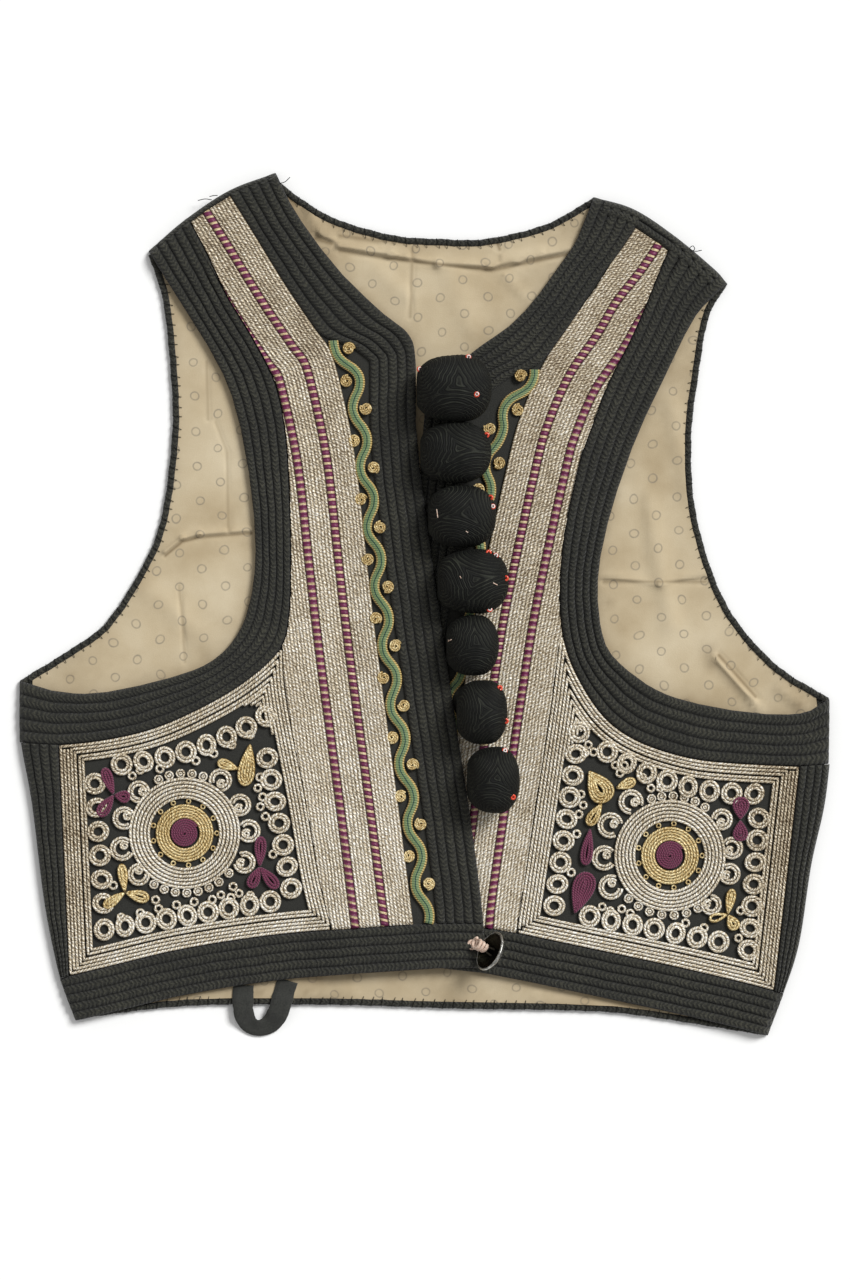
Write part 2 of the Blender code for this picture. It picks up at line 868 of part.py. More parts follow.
def buildSideBraid(side, front):
    """Three black braids down the side; the outermost turns down beside the cloth to the table."""
    lineA = even(cut(front.sideEdge, before=front.armClear, after=front.hemClear))
    lineB = even(cut(front.sideIn, before=front.armClear, after=front.hemClear), len(lineA))
    profile = ribs(sideCords, woolHigh, woolGroove)
    sections = []
    for a, b in zip(lineA, lineB):
        section = []
        for share, high in profile:
            p = a.lerp(b, share)
            section.append((*p, front.top(p) + layGap + high))
        for share, high in profile[:1:-1]:
            p = a.lerp(b, share)
            section.append((*p, front.top(p) + layGap))
        foot = a + (b - a).normalized() * (sideTurn - seamGap)
        section += [(*foot, front.top(foot) + layGap), (*foot, 0), (*a, 0)]
        sections.append(section)
    sweep("side_braid_" + side, sections, wool)


def buildBalls():
    """Stuffed ball buttons, necks against the left front's edge, lying on the right front."""
    rest = frontBase + frontThick + layGap + woolHigh + seamGap
    neckHigh = rest + neckLift
    for number, (up, long, wide) in enumerate(balls, 1):
        neck = neckShare * wide / 2
        start = max(edgeAt(up - neck), edgeAt(up + neck)) + seamGap
        tall = wide * ballFlat
        sections = []
        for t in (0, 0.1, 0.24, 0.4, 0.56, 0.72, 0.85, 0.95, 0.995):
            if t > ballWidest:
                size = sqrt(1 - ((t - ballWidest) / (1 - ballWidest)) ** 2)
                centre = rest + tall / 2
            else:
                size = neckShare + (1 - neckShare) * ease(t / ballWidest) ** 0.8
                rise = neckHigh + (rest + tall / 2 - neckHigh) * ease(t / 0.4)
                centre = max(rest + size * tall / 2, rise)
            turns = [2 * pi * (k + 0.5) / ballSides for k in range(ballSides)]
            sections.append([(start + long * t, up + cos(turn) * wide / 2 * size,
                              centre + sin(turn) * tall / 2 * size) for turn in turns])
        sweep("ball_button_%d" % number, sections, thread)


def edgeAt(y):
    """Where the left front's edge is, at a place up."""
    for a, b in zip(left.frontEdge, left.frontEdge[1:]):
        if a.y >= y >= b.y:
            return a.x + (b.x - a.x) * (y - a.y) / (b.y - a.y)


def buildFastenings():
    """The metal button with its thread shank, and the tape loop under the hem."""
    onBraid = frontBase + lapRise + frontThick + layGap + woolHigh + seamGap
    radius = metalAcross / 2
    high = onBraid + radius * sin(metalTilt) + rimThick
    dome = [(0, rimThick), (radius * 0.9, rimThick), (radius, 0), (radius * 0.9, -metalDeep * 0.4),
            (radius * 0.55, -metalDeep * 0.8), (0, -metalDeep)]
    button = turned("metal_button", dome, metalCentre, high, 24, metal)
    button.rotation_euler = (0, metalTilt, metalTurn)
    pose = Matrix.Translation(button.location) @ button.rotation_euler.to_matrix().to_4x4()
    out = pose.to_3x3() @ Vector((0, 0, 1))
    back = pose @ Vector((0, 0, rimThick)) + out * seamGap
    foot = Vector((*shankFoot, onBraid + shankWide / 2))
    tube("thread_shank", [back, back + out * shankWide * 0.8, foot + Vector((shankWide / 3, 0, shankWide)),
                          foot], shankWide, shankThread)

    # The loop is one tape: down one leg, round the end and up the other
    inner = loopAcross / 2
    legs = []
    for x in (loopCentre.x - inner, loopCentre.x + inner):
        hem = min(hemAt(x - tapeWide / 2), hemAt(x + tapeWide / 2))
        legs.append([Vector((x, hem - seamGap)), Vector((x, loopCentre.y + legBend))])
    turn = [loopCentre + Vector((-cos(pi * i / 8), -sin(pi * i / 8))) * inner for i in range(9)]
    path = legs[0] + turn + legs[1][::-1]
    over = edgeCord + seamGap
    sections = []
    for i, p in enumerate(path):
        way = (path[min(i + 1, len(path) - 1)] - path[max(i - 1, 0)]).normalized()
        out = Vector((way.y, -way.x)) * tapeWide / 2
        section = []
        for place, lift in ((p - out, 0), (p + out, 0), (p + out, tapeThick), (p - out, tapeThick)):
            fallen = (loopCentre.y + legBend - place.y) / loopFall
            section.append((*place, over * ease(1 - fallen) + lift))
        sections.append(section)
    sweep("tape_loop", sections, thread)


def hemAt(x):
    """Where the left front's hem is, at a place across."""
    for a, b in zip(left.hemEdge, left.hemEdge[1:]):
        if a.x <= x <= b.x:
            return a.y + (b.y - a.y) * (x - a.x) / (b.x - a.x)


for thing in list(bpy.data.objects):
    bpy.data.objects.remove(thing)
vest = bpy.data.collections.new("embroidered_folk_vest")
bpy.context.scene.collection.children.link(vest)

cloth = paint("black felted wool", (0.020, 0.021, 0.017), 0.95)
wool = paint("black wool braid", (0.026, 0.027, 0.022), 0.85)
cotton = paint("printed cotton", (0.56, 0.47, 0.33), 0.9)
silver = paint("silver cord", (0.55, 0.47, 0.34), 0.45, 0.5)
purple = paint("purple and silver twist", (0.12, 0.02, 0.06), 0.6)
green = paint("green and gold braid", (0.08, 0.22, 0.08), 0.6)
gold = paint("gold cord", (0.45, 0.33, 0.12), 0.45, 0.5)
thread = paint("black thread", (0.022, 0.022, 0.020), 0.8)
metal = paint("worn white metal", (0.35, 0.35, 0.34), 0.35, 1.0)
shankThread = paint("pink thread", (0.55, 0.35, 0.27), 0.8)

right = Front(-1, (rightShoulder, rightFrontEdge, rightArmEdge, rightArmInner, rightSideEdge,
                   rightSideInner, rightHemEdge, rightSilver, rightPanelEdge), rightEdgeWide)
left = Front(1, (leftShoulder, leftFrontEdge, leftArmEdge, leftArmInner, leftSideEdge, leftSideInner,
                 leftHemEdge, leftSilver, leftPanelEdge), leftEdgeWide, laps=True)

# Leaves of the medallions. Columns: across and up in millimetres, length, angle, material
leaves = {"left": [(-167, -104, 21, 1.2, purple), (-102, -88.5, 19, 0.5, gold),
                   (-85.5, -137.5, 21, 1.9, purple), (-159, -149.5, 20, 2.6, gold)],
          "right": [(93.5, -104, 21, 1.9, gold), (82, -134, 22, 1.2, purple),
                    (169, -113.5, 18, 1.0, purple), (163, -163.5, 18, 0.4, gold)]}
along = (lapFoot - lapTop).normalized()
lapAcross = Vector((-along.y, along.x))
lapFolds = [(lapTop + lapAcross * mm * x, lapAcross) for x in range(-34, 0, 6)]
lapFolds += [(Vector((0, y * mm)), Vector((0, 1))) for y in range(100, 166, 13)]

buildBack()
buildFront("left", left, leftCentre, leftEyelets, leftEyeletCounts, lapFolds)
buildFront("right", right, rightCentre, rightEyelets, rightEyeletCounts, [])
buildBalls()
buildFastenings()
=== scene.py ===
import bmesh
import bpy
import numpy as np
from math import cos, pi, radians, sin
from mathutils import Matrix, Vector


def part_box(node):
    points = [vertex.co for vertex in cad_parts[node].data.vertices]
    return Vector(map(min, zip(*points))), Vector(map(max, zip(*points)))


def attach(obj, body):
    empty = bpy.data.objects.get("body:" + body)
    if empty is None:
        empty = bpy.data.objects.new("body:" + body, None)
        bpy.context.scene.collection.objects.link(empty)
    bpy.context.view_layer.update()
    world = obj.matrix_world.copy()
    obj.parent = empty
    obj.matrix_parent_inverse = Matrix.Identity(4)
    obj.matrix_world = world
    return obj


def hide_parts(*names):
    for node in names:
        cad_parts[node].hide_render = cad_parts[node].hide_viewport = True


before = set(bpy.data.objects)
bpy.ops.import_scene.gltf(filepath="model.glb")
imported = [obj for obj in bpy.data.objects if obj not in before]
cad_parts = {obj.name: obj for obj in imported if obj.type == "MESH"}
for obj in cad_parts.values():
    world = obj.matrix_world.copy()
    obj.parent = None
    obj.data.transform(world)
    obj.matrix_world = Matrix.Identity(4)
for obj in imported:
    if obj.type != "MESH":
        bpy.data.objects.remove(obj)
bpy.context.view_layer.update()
mm = 0.001

# Embroidered folk vest, laid flat face up. X is across, Y up to the neck, Z up from the table.
# Left and right are as the viewer sees them.


# Tables and lines

def table(text):
    return np.array([[float(word) for word in row.split()] for row in text.strip().splitlines()]) * mm


def runOf(line):
    # how far along the line each of its points is
    return np.concatenate([[0], np.cumsum(np.hypot(*np.diff(line, axis=0).T))])


def waysOf(line):
    # the line's direction at each point, and the direction to its right
    ways = np.gradient(line, axis=0)
    ways /= np.hypot(*ways.T)[:, None]
    return ways, np.stack([ways[:, 1], -ways[:, 0]], 1)


def toward(degrees):
    return np.array([cos(radians(degrees)), sin(radians(degrees))])


def evenLine(line, spacing=2 * mm, count=None):
    along = runOf(line)
    count = count or max(3, int(round(along[-1] / spacing)) + 1)
    goal = np.linspace(0, along[-1], count)
    return np.stack([np.interp(goal, along, line[:, k]) for k in range(line.shape[1])], 1)


def smoothLine(points, spacing=2 * mm):
    # a soft curve through the points
    ends = np.vstack([2 * points[0] - points[1], points, 2 * points[-1] - points[-2]])
    fine = []
    for i in range(len(points) - 1):
        a, b, c, d = ends[i:i + 4]
        for t in np.arange(8) / 8:
            fine.append(0.5 * (2 * b + (c - a) * t + (2 * a - 5 * b + 4 * c - d) * t * t
                               + (3 * b - a - 3 * c + d) * t ** 3))
    return evenLine(np.array(fine + [points[-1]]), spacing)


def offsetLine(line, distance, soften=0):
    # moved to its right, looking along it
    moved = line + waysOf(line)[1] * distance
    for again in range(soften):
        moved[1:-1] = (moved[:-2] + 2 * moved[1:-1] + moved[2:]) / 4
    return moved


def nearestOn(line, points):
    # distance to the line, place along it, and side, positive on its left
    a, way = line[:-1], np.diff(line, axis=0)
    long = np.hypot(*way.T)
    start = np.concatenate([[0], np.cumsum(long)[:-1]])
    rel = points[:, None] - a[None]
    t = np.clip((rel * way).sum(2) / long ** 2, 0, 1)
    off = rel - t[..., None] * way
    far = np.hypot(off[..., 0], off[..., 1])
    k = far.argmin(1)
    rows = np.arange(len(points))
    side = way[k, 0] * rel[rows, k, 1] - way[k, 1] * rel[rows, k, 0]
    return far[rows, k], start[k] + t[rows, k] * long[k], side


def crossing(lineA, lineB):
    a, u = lineA[:-1, None], np.diff(lineA, axis=0)[:, None]
    b, v = lineB[None, :-1], np.diff(lineB, axis=0)[None]
    turn = u[..., 0] * v[..., 1] - u[..., 1] * v[..., 0]
    turn = np.where(abs(turn) < 1e-14, 1e-14, turn)
    gap = b - a
    t = (gap[..., 0] * v[..., 1] - gap[..., 1] * v[..., 0]) / turn
    s = (gap[..., 0] * u[..., 1] - gap[..., 1] * u[..., 0]) / turn
    miss = np.maximum(np.maximum(-t, t - 1), 0) * np.hypot(u[..., 0], u[..., 1]) \
        + np.maximum(np.maximum(-s, s - 1), 0) * np.hypot(v[..., 0], v[..., 1])
    i, j = np.unravel_index(miss.argmin(), miss.shape)
    return lineA[i] + np.diff(lineA, axis=0)[i] * t[i, j]


def cutLine(line, before=None, after=None):
    start = crossing(line, before) if before is not None else line[0]
    end = crossing(line, after) if after is not None else line[-1]
    first, last = nearestOn(line, np.array([start, end]))[1]
    along = runOf(line)
    keep = (along > first + 0.3 * mm) & (along < last - 0.3 * mm)
    return np.vstack([start, line[keep], end])


def ease(t):
    t = np.clip(t, 0, 1)
    return t * t * (3 - 2 * t)


def wobble(x, seed, long=40 * mm):
    # a slow, smooth unevenness between -1 and 1
    return (np.sin(x * 2 * pi / long + seed * 1.7) + 0.6 * np.sin(x * 2 * pi / (long * 0.37) + seed * 4.1)
            + 0.4 * np.sin(x * 2 * pi / (long * 0.17) + seed * 7.3)) / 2


# Heights and widths of the cut, as in the frame
cloth = {"back": 1.4 * mm, "liningBase": 1.7 * mm, "liningThick": 0.5 * mm, "frontBase": 3.4 * mm,
         "frontThick": 1.4 * mm, "lay": 0.3 * mm, "edgeRound": 6 * mm, "edgeDrop": 4.3 * mm}
lap = {"rise": 4.1 * mm, "near": 4 * mm, "far": 34 * mm, "top": (-2.5 * mm, 67.5 * mm),
       "foot": (-32.5 * mm, -185.5 * mm), "full": 100 * mm, "none": 165 * mm}
braid = {"cords": 5, "high": 2.1 * mm, "hemWide": 24 * mm, "leftEdgeWide": 24.5 * mm,
         "rightEdgeWide": 22.5 * mm, "gap": 0.3 * mm, "shoulder": {"left": (1, 3 * mm), "right": (2, 8.6 * mm)}}
silver = {"wide": 53 * mm, "pitch": 1.83 * mm, "high": 1.5 * mm, "twistWide": 4.3 * mm, "twistHigh": 2.2 * mm,
          "firstTwist": 15.2 * mm, "secondTwist": 31 * mm}
wave = {"top": {"left": 140 * mm, "right": 125 * mm}, "toSilver": {"left": 0.5, "right": 0.62},
        "wide": 5.4 * mm, "long": 32 * mm, "swing": 2.9 * mm, "high": 2.2 * mm, "curl": 3.2 * mm,
        "curlCord": 1.3 * mm, "hiddenBelow": 55 * mm}

# Each line of a front, in millimetres: across, up
lines = {
    "left": {
        "shoulder": "-80 232\n-105 222.5\n-129 206.5\n-148 190",
        "front": """-80 232\n-68.5 209.5\n-47 180.5\n-23 157\n-9 145.5\n-5 131\n-4.5 91\n3 30\n14 -46.5
            24 -111.5\n30 -157.5\n33 -193.5""",
        "arm": """-148 190\n-136.5 171.5\n-116 139\n-103.5 113\n-95.5 79.5\n-91 42.5\n-91.5 14\n-97.5 -10
            -110 -26.5\n-130 -36.5\n-170 -46\n-195.5 -46\n-217 -40""",
        "armIn": """-133 219\n-118 191\n-106 166\n-91 141\n-80 118\n-74.5 89\n-72.5 54\n-72 25\n-73 -6\n-78 -23
            -94 -38.5\n-115.5 -52\n-143 -64.5\n-169 -71\n-196 -74\n-217 -73""",
        "side": "-217 -40\n-217 -68.5\n-210.5 -106\n-203.5 -161\n-194.5 -203\n-187 -222",
        "sideIn": "-196.5 -66\n-190.5 -200",
        "hem": "-187 -222\n-160 -215.5\n-126 -207.5\n-82 -200.5\n-38.5 -196.5\n8 -193.5\n33 -193.5",
        "silver": """-108.5 226\n-92.5 200.5\n-75 172\n-59.5 149\n-50.5 136\n-44 113\n-37 77\n-30.5 19\n-25 -27
            -14.5 -105\n-6.5 -168""",
        "panel": "-76 -10\n-75 -45\n-64 -104\n-56.5 -147\n-48 -180"},
    "right": {
        "shoulder": "90.5 219\n112 212.5\n134 198\n155.5 180\n162 172.5",
        "front": """90.5 219\n81 195.5\n71 180.5\n58 163\n45.5 150\n28.5 138\n8 121\n0.5 107.5\n-2.5 67.5
            -7 24.5\n-13.5 -29\n-21.5 -93.5\n-32.5 -185.5""",
        "arm": """162 172.5\n152 163.5\n142.5 151.5\n127.5 121\n112 87.5\n98.5 47\n92.5 14\n95 -15.5\n104.5 -31
            129.5 -47.5\n169 -56.5\n201 -57.5\n216.5 -49.5""",
        "armIn": """138 209\n120.5 166\n111 144\n98.5 119\n90 97\n83 77\n77 50\n73.5 27\n72.5 4\n74 -15\n79 -32
            89.5 -51\n101 -64\n117 -73.5\n139 -80.5\n160.5 -83.5\n200.5 -85.5\n216 -84.5""",
        "side": "216.5 -49.5\n218 -66.5\n214.5 -104\n207 -138.5\n200.5 -180.5\n192 -207.5\n183.5 -230",
        "sideIn": "201.5 -78\n186.5 -210",
        "hem": "183.5 -230\n162.5 -224.5\n126 -216\n76.5 -205.5\n35.5 -197\n8 -193.5\n-32.5 -185.5",
        "silver": """119 212\n104 189.5\n90 171.5\n79 153\n64 131\n52 104\n45 80\n29.5 8.5\n21.5 -39.5
            6.5 -141.5\n3 -173""",
        "panel": "73 -10\n68 -50.5\n61.5 -93.5\n55 -136\n48 -182"}}
backLines = {
    "neck": "-80 229.5\n-72.5 222.5\n-49.5 208\n-17.5 198.5\n8 196.5\n32.5 196.5\n64 204\n86 216\n90.5 219",
    "leftArm": "-148 188\n-140 162.5\n-135.5 117\n-135.5 89\n-140.5 50\n-149.5 24.5\n-170 -8\n-189.5 -23\n-217 -40",
    "rightArm": "162 172.5\n152 155\n146.5 124.5\n142.5 89\n145.5 47\n161 1.5\n187 -30.5\n216.5 -49.5",
    "hem": "-187 -221\n-126 -214\n-49.5 -213.5\n16 -215.5\n76.5 -216.5\n113.5 -219\n183.5 -230"}


def frontOf(side):
    turn = 1 if side == "left" else -1          # the cloth is on the right of the left front's edge
    f = {name: smoothLine(table(text)) for name, text in lines[side].items()}
    f["turn"], f["name"] = turn, side
    f["edgeIn"] = offsetLine(f["front"], turn * braid[side + "EdgeWide"], 50)
    f["armClear"] = offsetLine(f["armIn"], -turn * braid["gap"])
    f["hemIn"] = offsetLine(f["hem"], -turn * braid["hemWide"])
    f["hemClear"] = offsetLine(f["hemIn"], -turn * braid["gap"])
    return f


left, right = frontOf("left"), frontOf("right")


def liftAt(points):
    # how far the front below raises the left one
    way = np.subtract(lap["foot"], lap["top"])
    way /= np.hypot(*way)
    within = (points - lap["top"]) @ np.array([-way[1], way[0]])
    climb = ease((within + lap["far"]) / (lap["far"] - lap["near"]))
    return lap["rise"] * climb * ease((lap["none"] - points[:, 1]) / (lap["none"] - lap["full"]))


def topOf(f, points):
    # the cloth's outer face, which rounds down where front and back meet
    drop = np.zeros(len(points))
    for name in ("side", "shoulder"):
        far, along, side = nearestOn(f[name], points)
        far = np.where(side * f["turn"] > 0, far, 0)
        t = 1 - np.clip(far / cloth["edgeRound"], 0, 1)
        drop = np.maximum(drop, cloth["edgeDrop"] * (1 - np.sqrt(1 - np.minimum(t, 0.995) ** 2)))
    high = cloth["frontBase"] + cloth["frontThick"] - drop
    return high + (liftAt(points) if f["name"] == "left" else 0)


# Materials

def linear(text, alpha=1.0):
    # sRGB hex to the linear colour that a shader takes
    part = [int(text[i:i + 2], 16) / 255 for i in (1, 3, 5)]
    return (*[c / 12.92 if c < 0.04045 else ((c + 0.055) / 1.055) ** 2.4 for c in part], alpha)


def newMaterial(name, **shader):
    material = bpy.data.materials.new(name)
    material.use_nodes = True
    tree = material.node_tree
    surface = tree.nodes["Principled BSDF"]
    for key, value in shader.items():
        surface.inputs[key.replace("_", " ")].default_value = value
    return material, tree, surface


def addNode(tree, kind, *values, out=0, stops=(), **settings):
    # one node, by its kind and mode, with its settings and a ramp's stops. Its sockets take the values in turn,
    # or from a dictionary: a link, a number or a hex colour. The socket that goes on is given back
    kind, *mode = kind.split()
    made = tree.nodes.new("ShaderNode" + kind)
    if mode:
        setattr(made, "data_type" if kind == "Mix" else "operation", mode[0])
    for key, value in settings.items():
        setattr(made, key, value)
    for i, (place, colour) in enumerate(stops):
        while len(made.color_ramp.elements) < len(stops):
            made.color_ramp.elements.new(0.5)
        made.color_ramp.elements[i].position = place
        made.color_ramp.elements[i].color = linear(colour)
    given = values[0] if values and isinstance(values[0], dict) else dict(enumerate(values))
    for key, value in given.items():
        if isinstance(value, bpy.types.NodeSocket):
            tree.links.new(value, made.inputs[key])
        else:
            made.inputs[key].default_value = linear(value) if isinstance(value, str) else value
    return made.outputs[out]


def mottle(tree, grain, detail=3.0, rough=0.55):
    # uneven tone on the piece's own coordinates: grain is the size of its patches
    return addNode(tree, "TexNoise", {"Vector": addNode(tree, "TexCoord", out="Object"), "Scale": 1 / grain,
                                      "Detail": detail, "Roughness": rough}, out="Fac")


def cordSpace(tree):
    # millimetres along the cord, share of the way across it, and how near its side that is
    parts = addNode(tree, "SeparateXYZ", addNode(tree, "UVMap", uv_map="cord")).node.outputs
    across = addNode(tree, "Math FRACT", parts[1])
    side = addNode(tree, "Math MULTIPLY",
                   addNode(tree, "Math ABSOLUTE", addNode(tree, "Math SUBTRACT", across, 0.5)), 2.0)
    return parts[0], across, side


def coat(tree, surface, colour, relief, deep, strength=1.0):
    # the colour of a surface, and its fine relief
    tree.links.new(colour, surface.inputs["Base Color"])
    bump = addNode(tree, "Bump", {"Height": relief, "Distance": deep, "Strength": strength})
    tree.links.new(bump, surface.inputs["Normal"])


def stripe(tree, phase):
    # rises to 1 and falls to 0 once in each whole number of phase
    wave = addNode(tree, "Math SINE", addNode(tree, "Math MULTIPLY", phase, 2 * pi))
    return addNode(tree, "Math ADD", addNode(tree, "Math MULTIPLY", wave, 0.5), 0.5)


def clothBlack():
    # felted wool, milled and matt: no weave shows, only a short fuzz
    material, tree, surface = newMaterial("feltedWool", Roughness=0.95, Sheen_Weight=0.15, Sheen_Roughness=0.6)
    fuzz = mottle(tree, 0.7 * mm, 5)
    coat(tree, surface, addNode(tree, "ValToRGB", fuzz, stops=((0.3, "#151511"), (0.75, "#2b2b25"))), fuzz,
         0.3 * mm, 0.8)
    return material


def woolBraid():
    # plaited wool, soft and matt: two columns of slanting stitches on each braid, half hidden by its fuzz
    material, tree, surface = newMaterial("blackWoolBraid", Roughness=0.92, Sheen_Weight=0.12,
                                          Sheen_Roughness=0.5)
    along, across, side = cordSpace(tree)
    shift = addNode(tree, "Math MULTIPLY", mottle(tree, 4 * mm, 2), 1.5)
    phase = addNode(tree, "Math ADD", addNode(tree, "Math DIVIDE", along, 2.5),
                    addNode(tree, "Math MULTIPLY", side, 0.7))
    stitch = stripe(tree, addNode(tree, "Math ADD", phase, shift))
    fuzz = mottle(tree, 0.9 * mm, 5, 0.7)
    slow = mottle(tree, 18 * mm, 3)
    tone = addNode(tree, "Math ADD", addNode(tree, "Math MULTIPLY", stitch, 0.22),
                   addNode(tree, "Math MULTIPLY", fuzz, 0.8))
    tone = addNode(tree, "Math ADD", tone, addNode(tree, "Math MULTIPLY", slow, 0.3))
    colour = addNode(tree, "ValToRGB", tone, stops=((0.4, "#0d0e0a"), (0.66, "#25251e"), (0.95, "#4a493c")))
    # painted shade: each cord darkens towards its sides, in the grooves between cords
    colour = addNode(tree, "Mix RGBA", {0: addNode(tree, "Math POWER", side, 3.0), 6: colour, 7: "#080806"},
                     out=2)
    coat(tree, surface, colour, addNode(tree, "Math ADD", stitch, addNode(tree, "Math MULTIPLY", fuzz, 1.5)),
         0.6 * mm, 0.9)
    return material


def metalCord(name, dark, middle, light, shine, twist=1.25):
    # a core wound with flat metal wire: painted glints as bright flecks, which are also glossier, and brown where
    # worn
    material, tree, surface = newMaterial(name, Roughness=0.42, Metallic=shine)
    along, across, side = cordSpace(tree)
    phase = addNode(tree, "Math ADD", addNode(tree, "Math DIVIDE", along, twist),
                    addNode(tree, "Math MULTIPLY", across, 0.9))
    phase = addNode(tree, "Math ADD", phase, addNode(tree, "Math MULTIPLY", mottle(tree, 3 * mm, 2), 2.5))
    strand = stripe(tree, phase)
    fleck = mottle(tree, 1.3 * mm, 3, 0.75)
    wear = mottle(tree, 14 * mm, 3)
    tone = addNode(tree, "Math ADD", addNode(tree, "Math MULTIPLY", strand, 0.28),
                   addNode(tree, "Math MULTIPLY", fleck, 1.25))
    tone = addNode(tree, "Math ADD", tone,
                   addNode(tree, "Math MULTIPLY", addNode(tree, "Math SUBTRACT", wear, 0.5), 0.35))
    # paler towards the hem, and darker towards the side seams
    parts = addNode(tree, "SeparateXYZ", addNode(tree, "TexCoord", out="Object")).node.outputs
    tone = addNode(tree, "Math SUBTRACT", tone, addNode(tree, "Math MULTIPLY", parts[1], 0.45))
    outer = addNode(tree, "Math SUBTRACT", addNode(tree, "Math ABSOLUTE", parts[0]), 0.165, use_clamp=True)
    tone = addNode(tree, "Math SUBTRACT", tone, addNode(tree, "Math MULTIPLY", outer, 6.0))
    tone = addNode(tree, "Math SUBTRACT", tone, 0.19)
    colour = addNode(tree, "ValToRGB", tone, stops=((0.3, dark), (0.58, middle), (0.86, light)))
    # painted shade: each cord darkens towards its sides, in the grooves between cords
    paintedGrooveShade = addNode(tree, "Math MULTIPLY", addNode(tree, "Math POWER", side, 2.5), 0.9)
    colour = addNode(tree, "Mix RGBA", {0: paintedGrooveShade, 6: colour, 7: dark}, out=2)
    rough = addNode(tree, "Math SUBTRACT", 0.62, addNode(tree, "Math MULTIPLY", fleck, 0.4))
    tree.links.new(rough, surface.inputs["Roughness"])
    coat(tree, surface, colour, strand, 0.35 * mm, 0.8)
    return material


def silkCord(name, dark, light):
    # floss cord, dyed and slightly glossy, with the ply of its strands
    material, tree, surface = newMaterial(name, Roughness=0.6, Sheen_Weight=0.25)
    along, across, side = cordSpace(tree)
    phase = addNode(tree, "Math ADD", addNode(tree, "Math DIVIDE", along, 1.3),
                    addNode(tree, "Math MULTIPLY", across, 0.9))
    strand = stripe(tree, phase)
    tone = addNode(tree, "Math ADD", addNode(tree, "Math MULTIPLY", strand, 0.4),
                   addNode(tree, "Math MULTIPLY", mottle(tree, 0.8 * mm), 0.7))
    # painted shade: the cord darkens towards its sides
    colour = addNode(tree, "Mix RGBA", {0: addNode(tree, "Math POWER", side, 4.0),
                                        6: addNode(tree, "ValToRGB", tone, stops=((0.25, dark), (0.8, light))),
                                        7: dark}, out=2)
    coat(tree, surface, colour, strand, 0.3 * mm, 0.7)
    return material


def twistCord():
    # purple floss wound with a thin metal strand that shows as slanted lines
    material, tree, surface = newMaterial("purpleAndSilverTwist", Roughness=0.5)
    along, across, side = cordSpace(tree)
    turnOf = addNode(tree, "Math ADD", addNode(tree, "Math DIVIDE", along, 3.9),
                     addNode(tree, "Math MULTIPLY", across, 0.38))
    turnOf = addNode(tree, "Math FRACT", turnOf)
    metal = addNode(tree, "Math LESS_THAN", turnOf, 0.33)
    fleck = mottle(tree, 0.7 * mm, 3, 0.7)
    wire = addNode(tree, "ValToRGB", fleck, stops=((0.3, "#93794f"), (0.55, "#cdb98e"), (0.75, "#f6ebcb")))
    floss = addNode(tree, "ValToRGB", fleck, stops=((0.3, "#4a1133"), (0.7, "#812655")))
    colour = addNode(tree, "Mix RGBA", {0: metal, 6: floss, 7: wire}, out=2)
    # painted shade: the cord darkens towards its sides
    colour = addNode(tree, "Mix RGBA", {0: addNode(tree, "Math POWER", side, 6.0), 6: colour, 7: "#3a1a2c"},
                     out=2)
    lump = addNode(tree, "Math SINE", addNode(tree, "Math MULTIPLY", turnOf, 2 * pi))
    coat(tree, surface, colour, addNode(tree, "Math ABSOLUTE", lump), 0.4 * mm, 0.8)
    return material


def waveBraid():
    # green silk braid with a dark line down its middle and a beaded gilt cord along each edge
    material, tree, surface = newMaterial("greenAndGoldBraid", Roughness=0.55, Sheen_Weight=0.2)
    along, across, side = cordSpace(tree)
    bead = stripe(tree, addNode(tree, "Math DIVIDE", along, 1.3))
    fleck = mottle(tree, 0.7 * mm, 3)
    gilt = addNode(tree, "ValToRGB", addNode(tree, "Math ADD", addNode(tree, "Math MULTIPLY", bead, 0.45),
                                             addNode(tree, "Math MULTIPLY", fleck, 0.6)),
                   stops=((0.25, "#6b5524"), (0.55, "#b0944c"), (0.85, "#e0cb8b")))
    silk = addNode(tree, "ValToRGB", fleck, stops=((0.3, "#5a7448"), (0.7, "#8fa06c")))
    rib = addNode(tree, "Math ABSOLUTE",
                  addNode(tree, "Math SUBTRACT", addNode(tree, "Math FRACT",
                                                         addNode(tree, "Math MULTIPLY", side, 3.0)), 0.5))
    silk = addNode(tree, "Mix RGBA", {0: rib, 6: silk, 7: "#46603a"}, out=2)
    silk = addNode(tree, "Mix RGBA", {0: addNode(tree, "Math LESS_THAN", side, 0.13), 6: silk, 7: "#1d4636"},
                   out=2)
    colour = addNode(tree, "Mix RGBA", {0: addNode(tree, "Math GREATER_THAN", side, 0.68), 6: silk, 7: gilt},
                     out=2)
    coat(tree, surface, colour, addNode(tree, "Math ADD", bead, fleck), 0.3 * mm, 0.7)
    return material


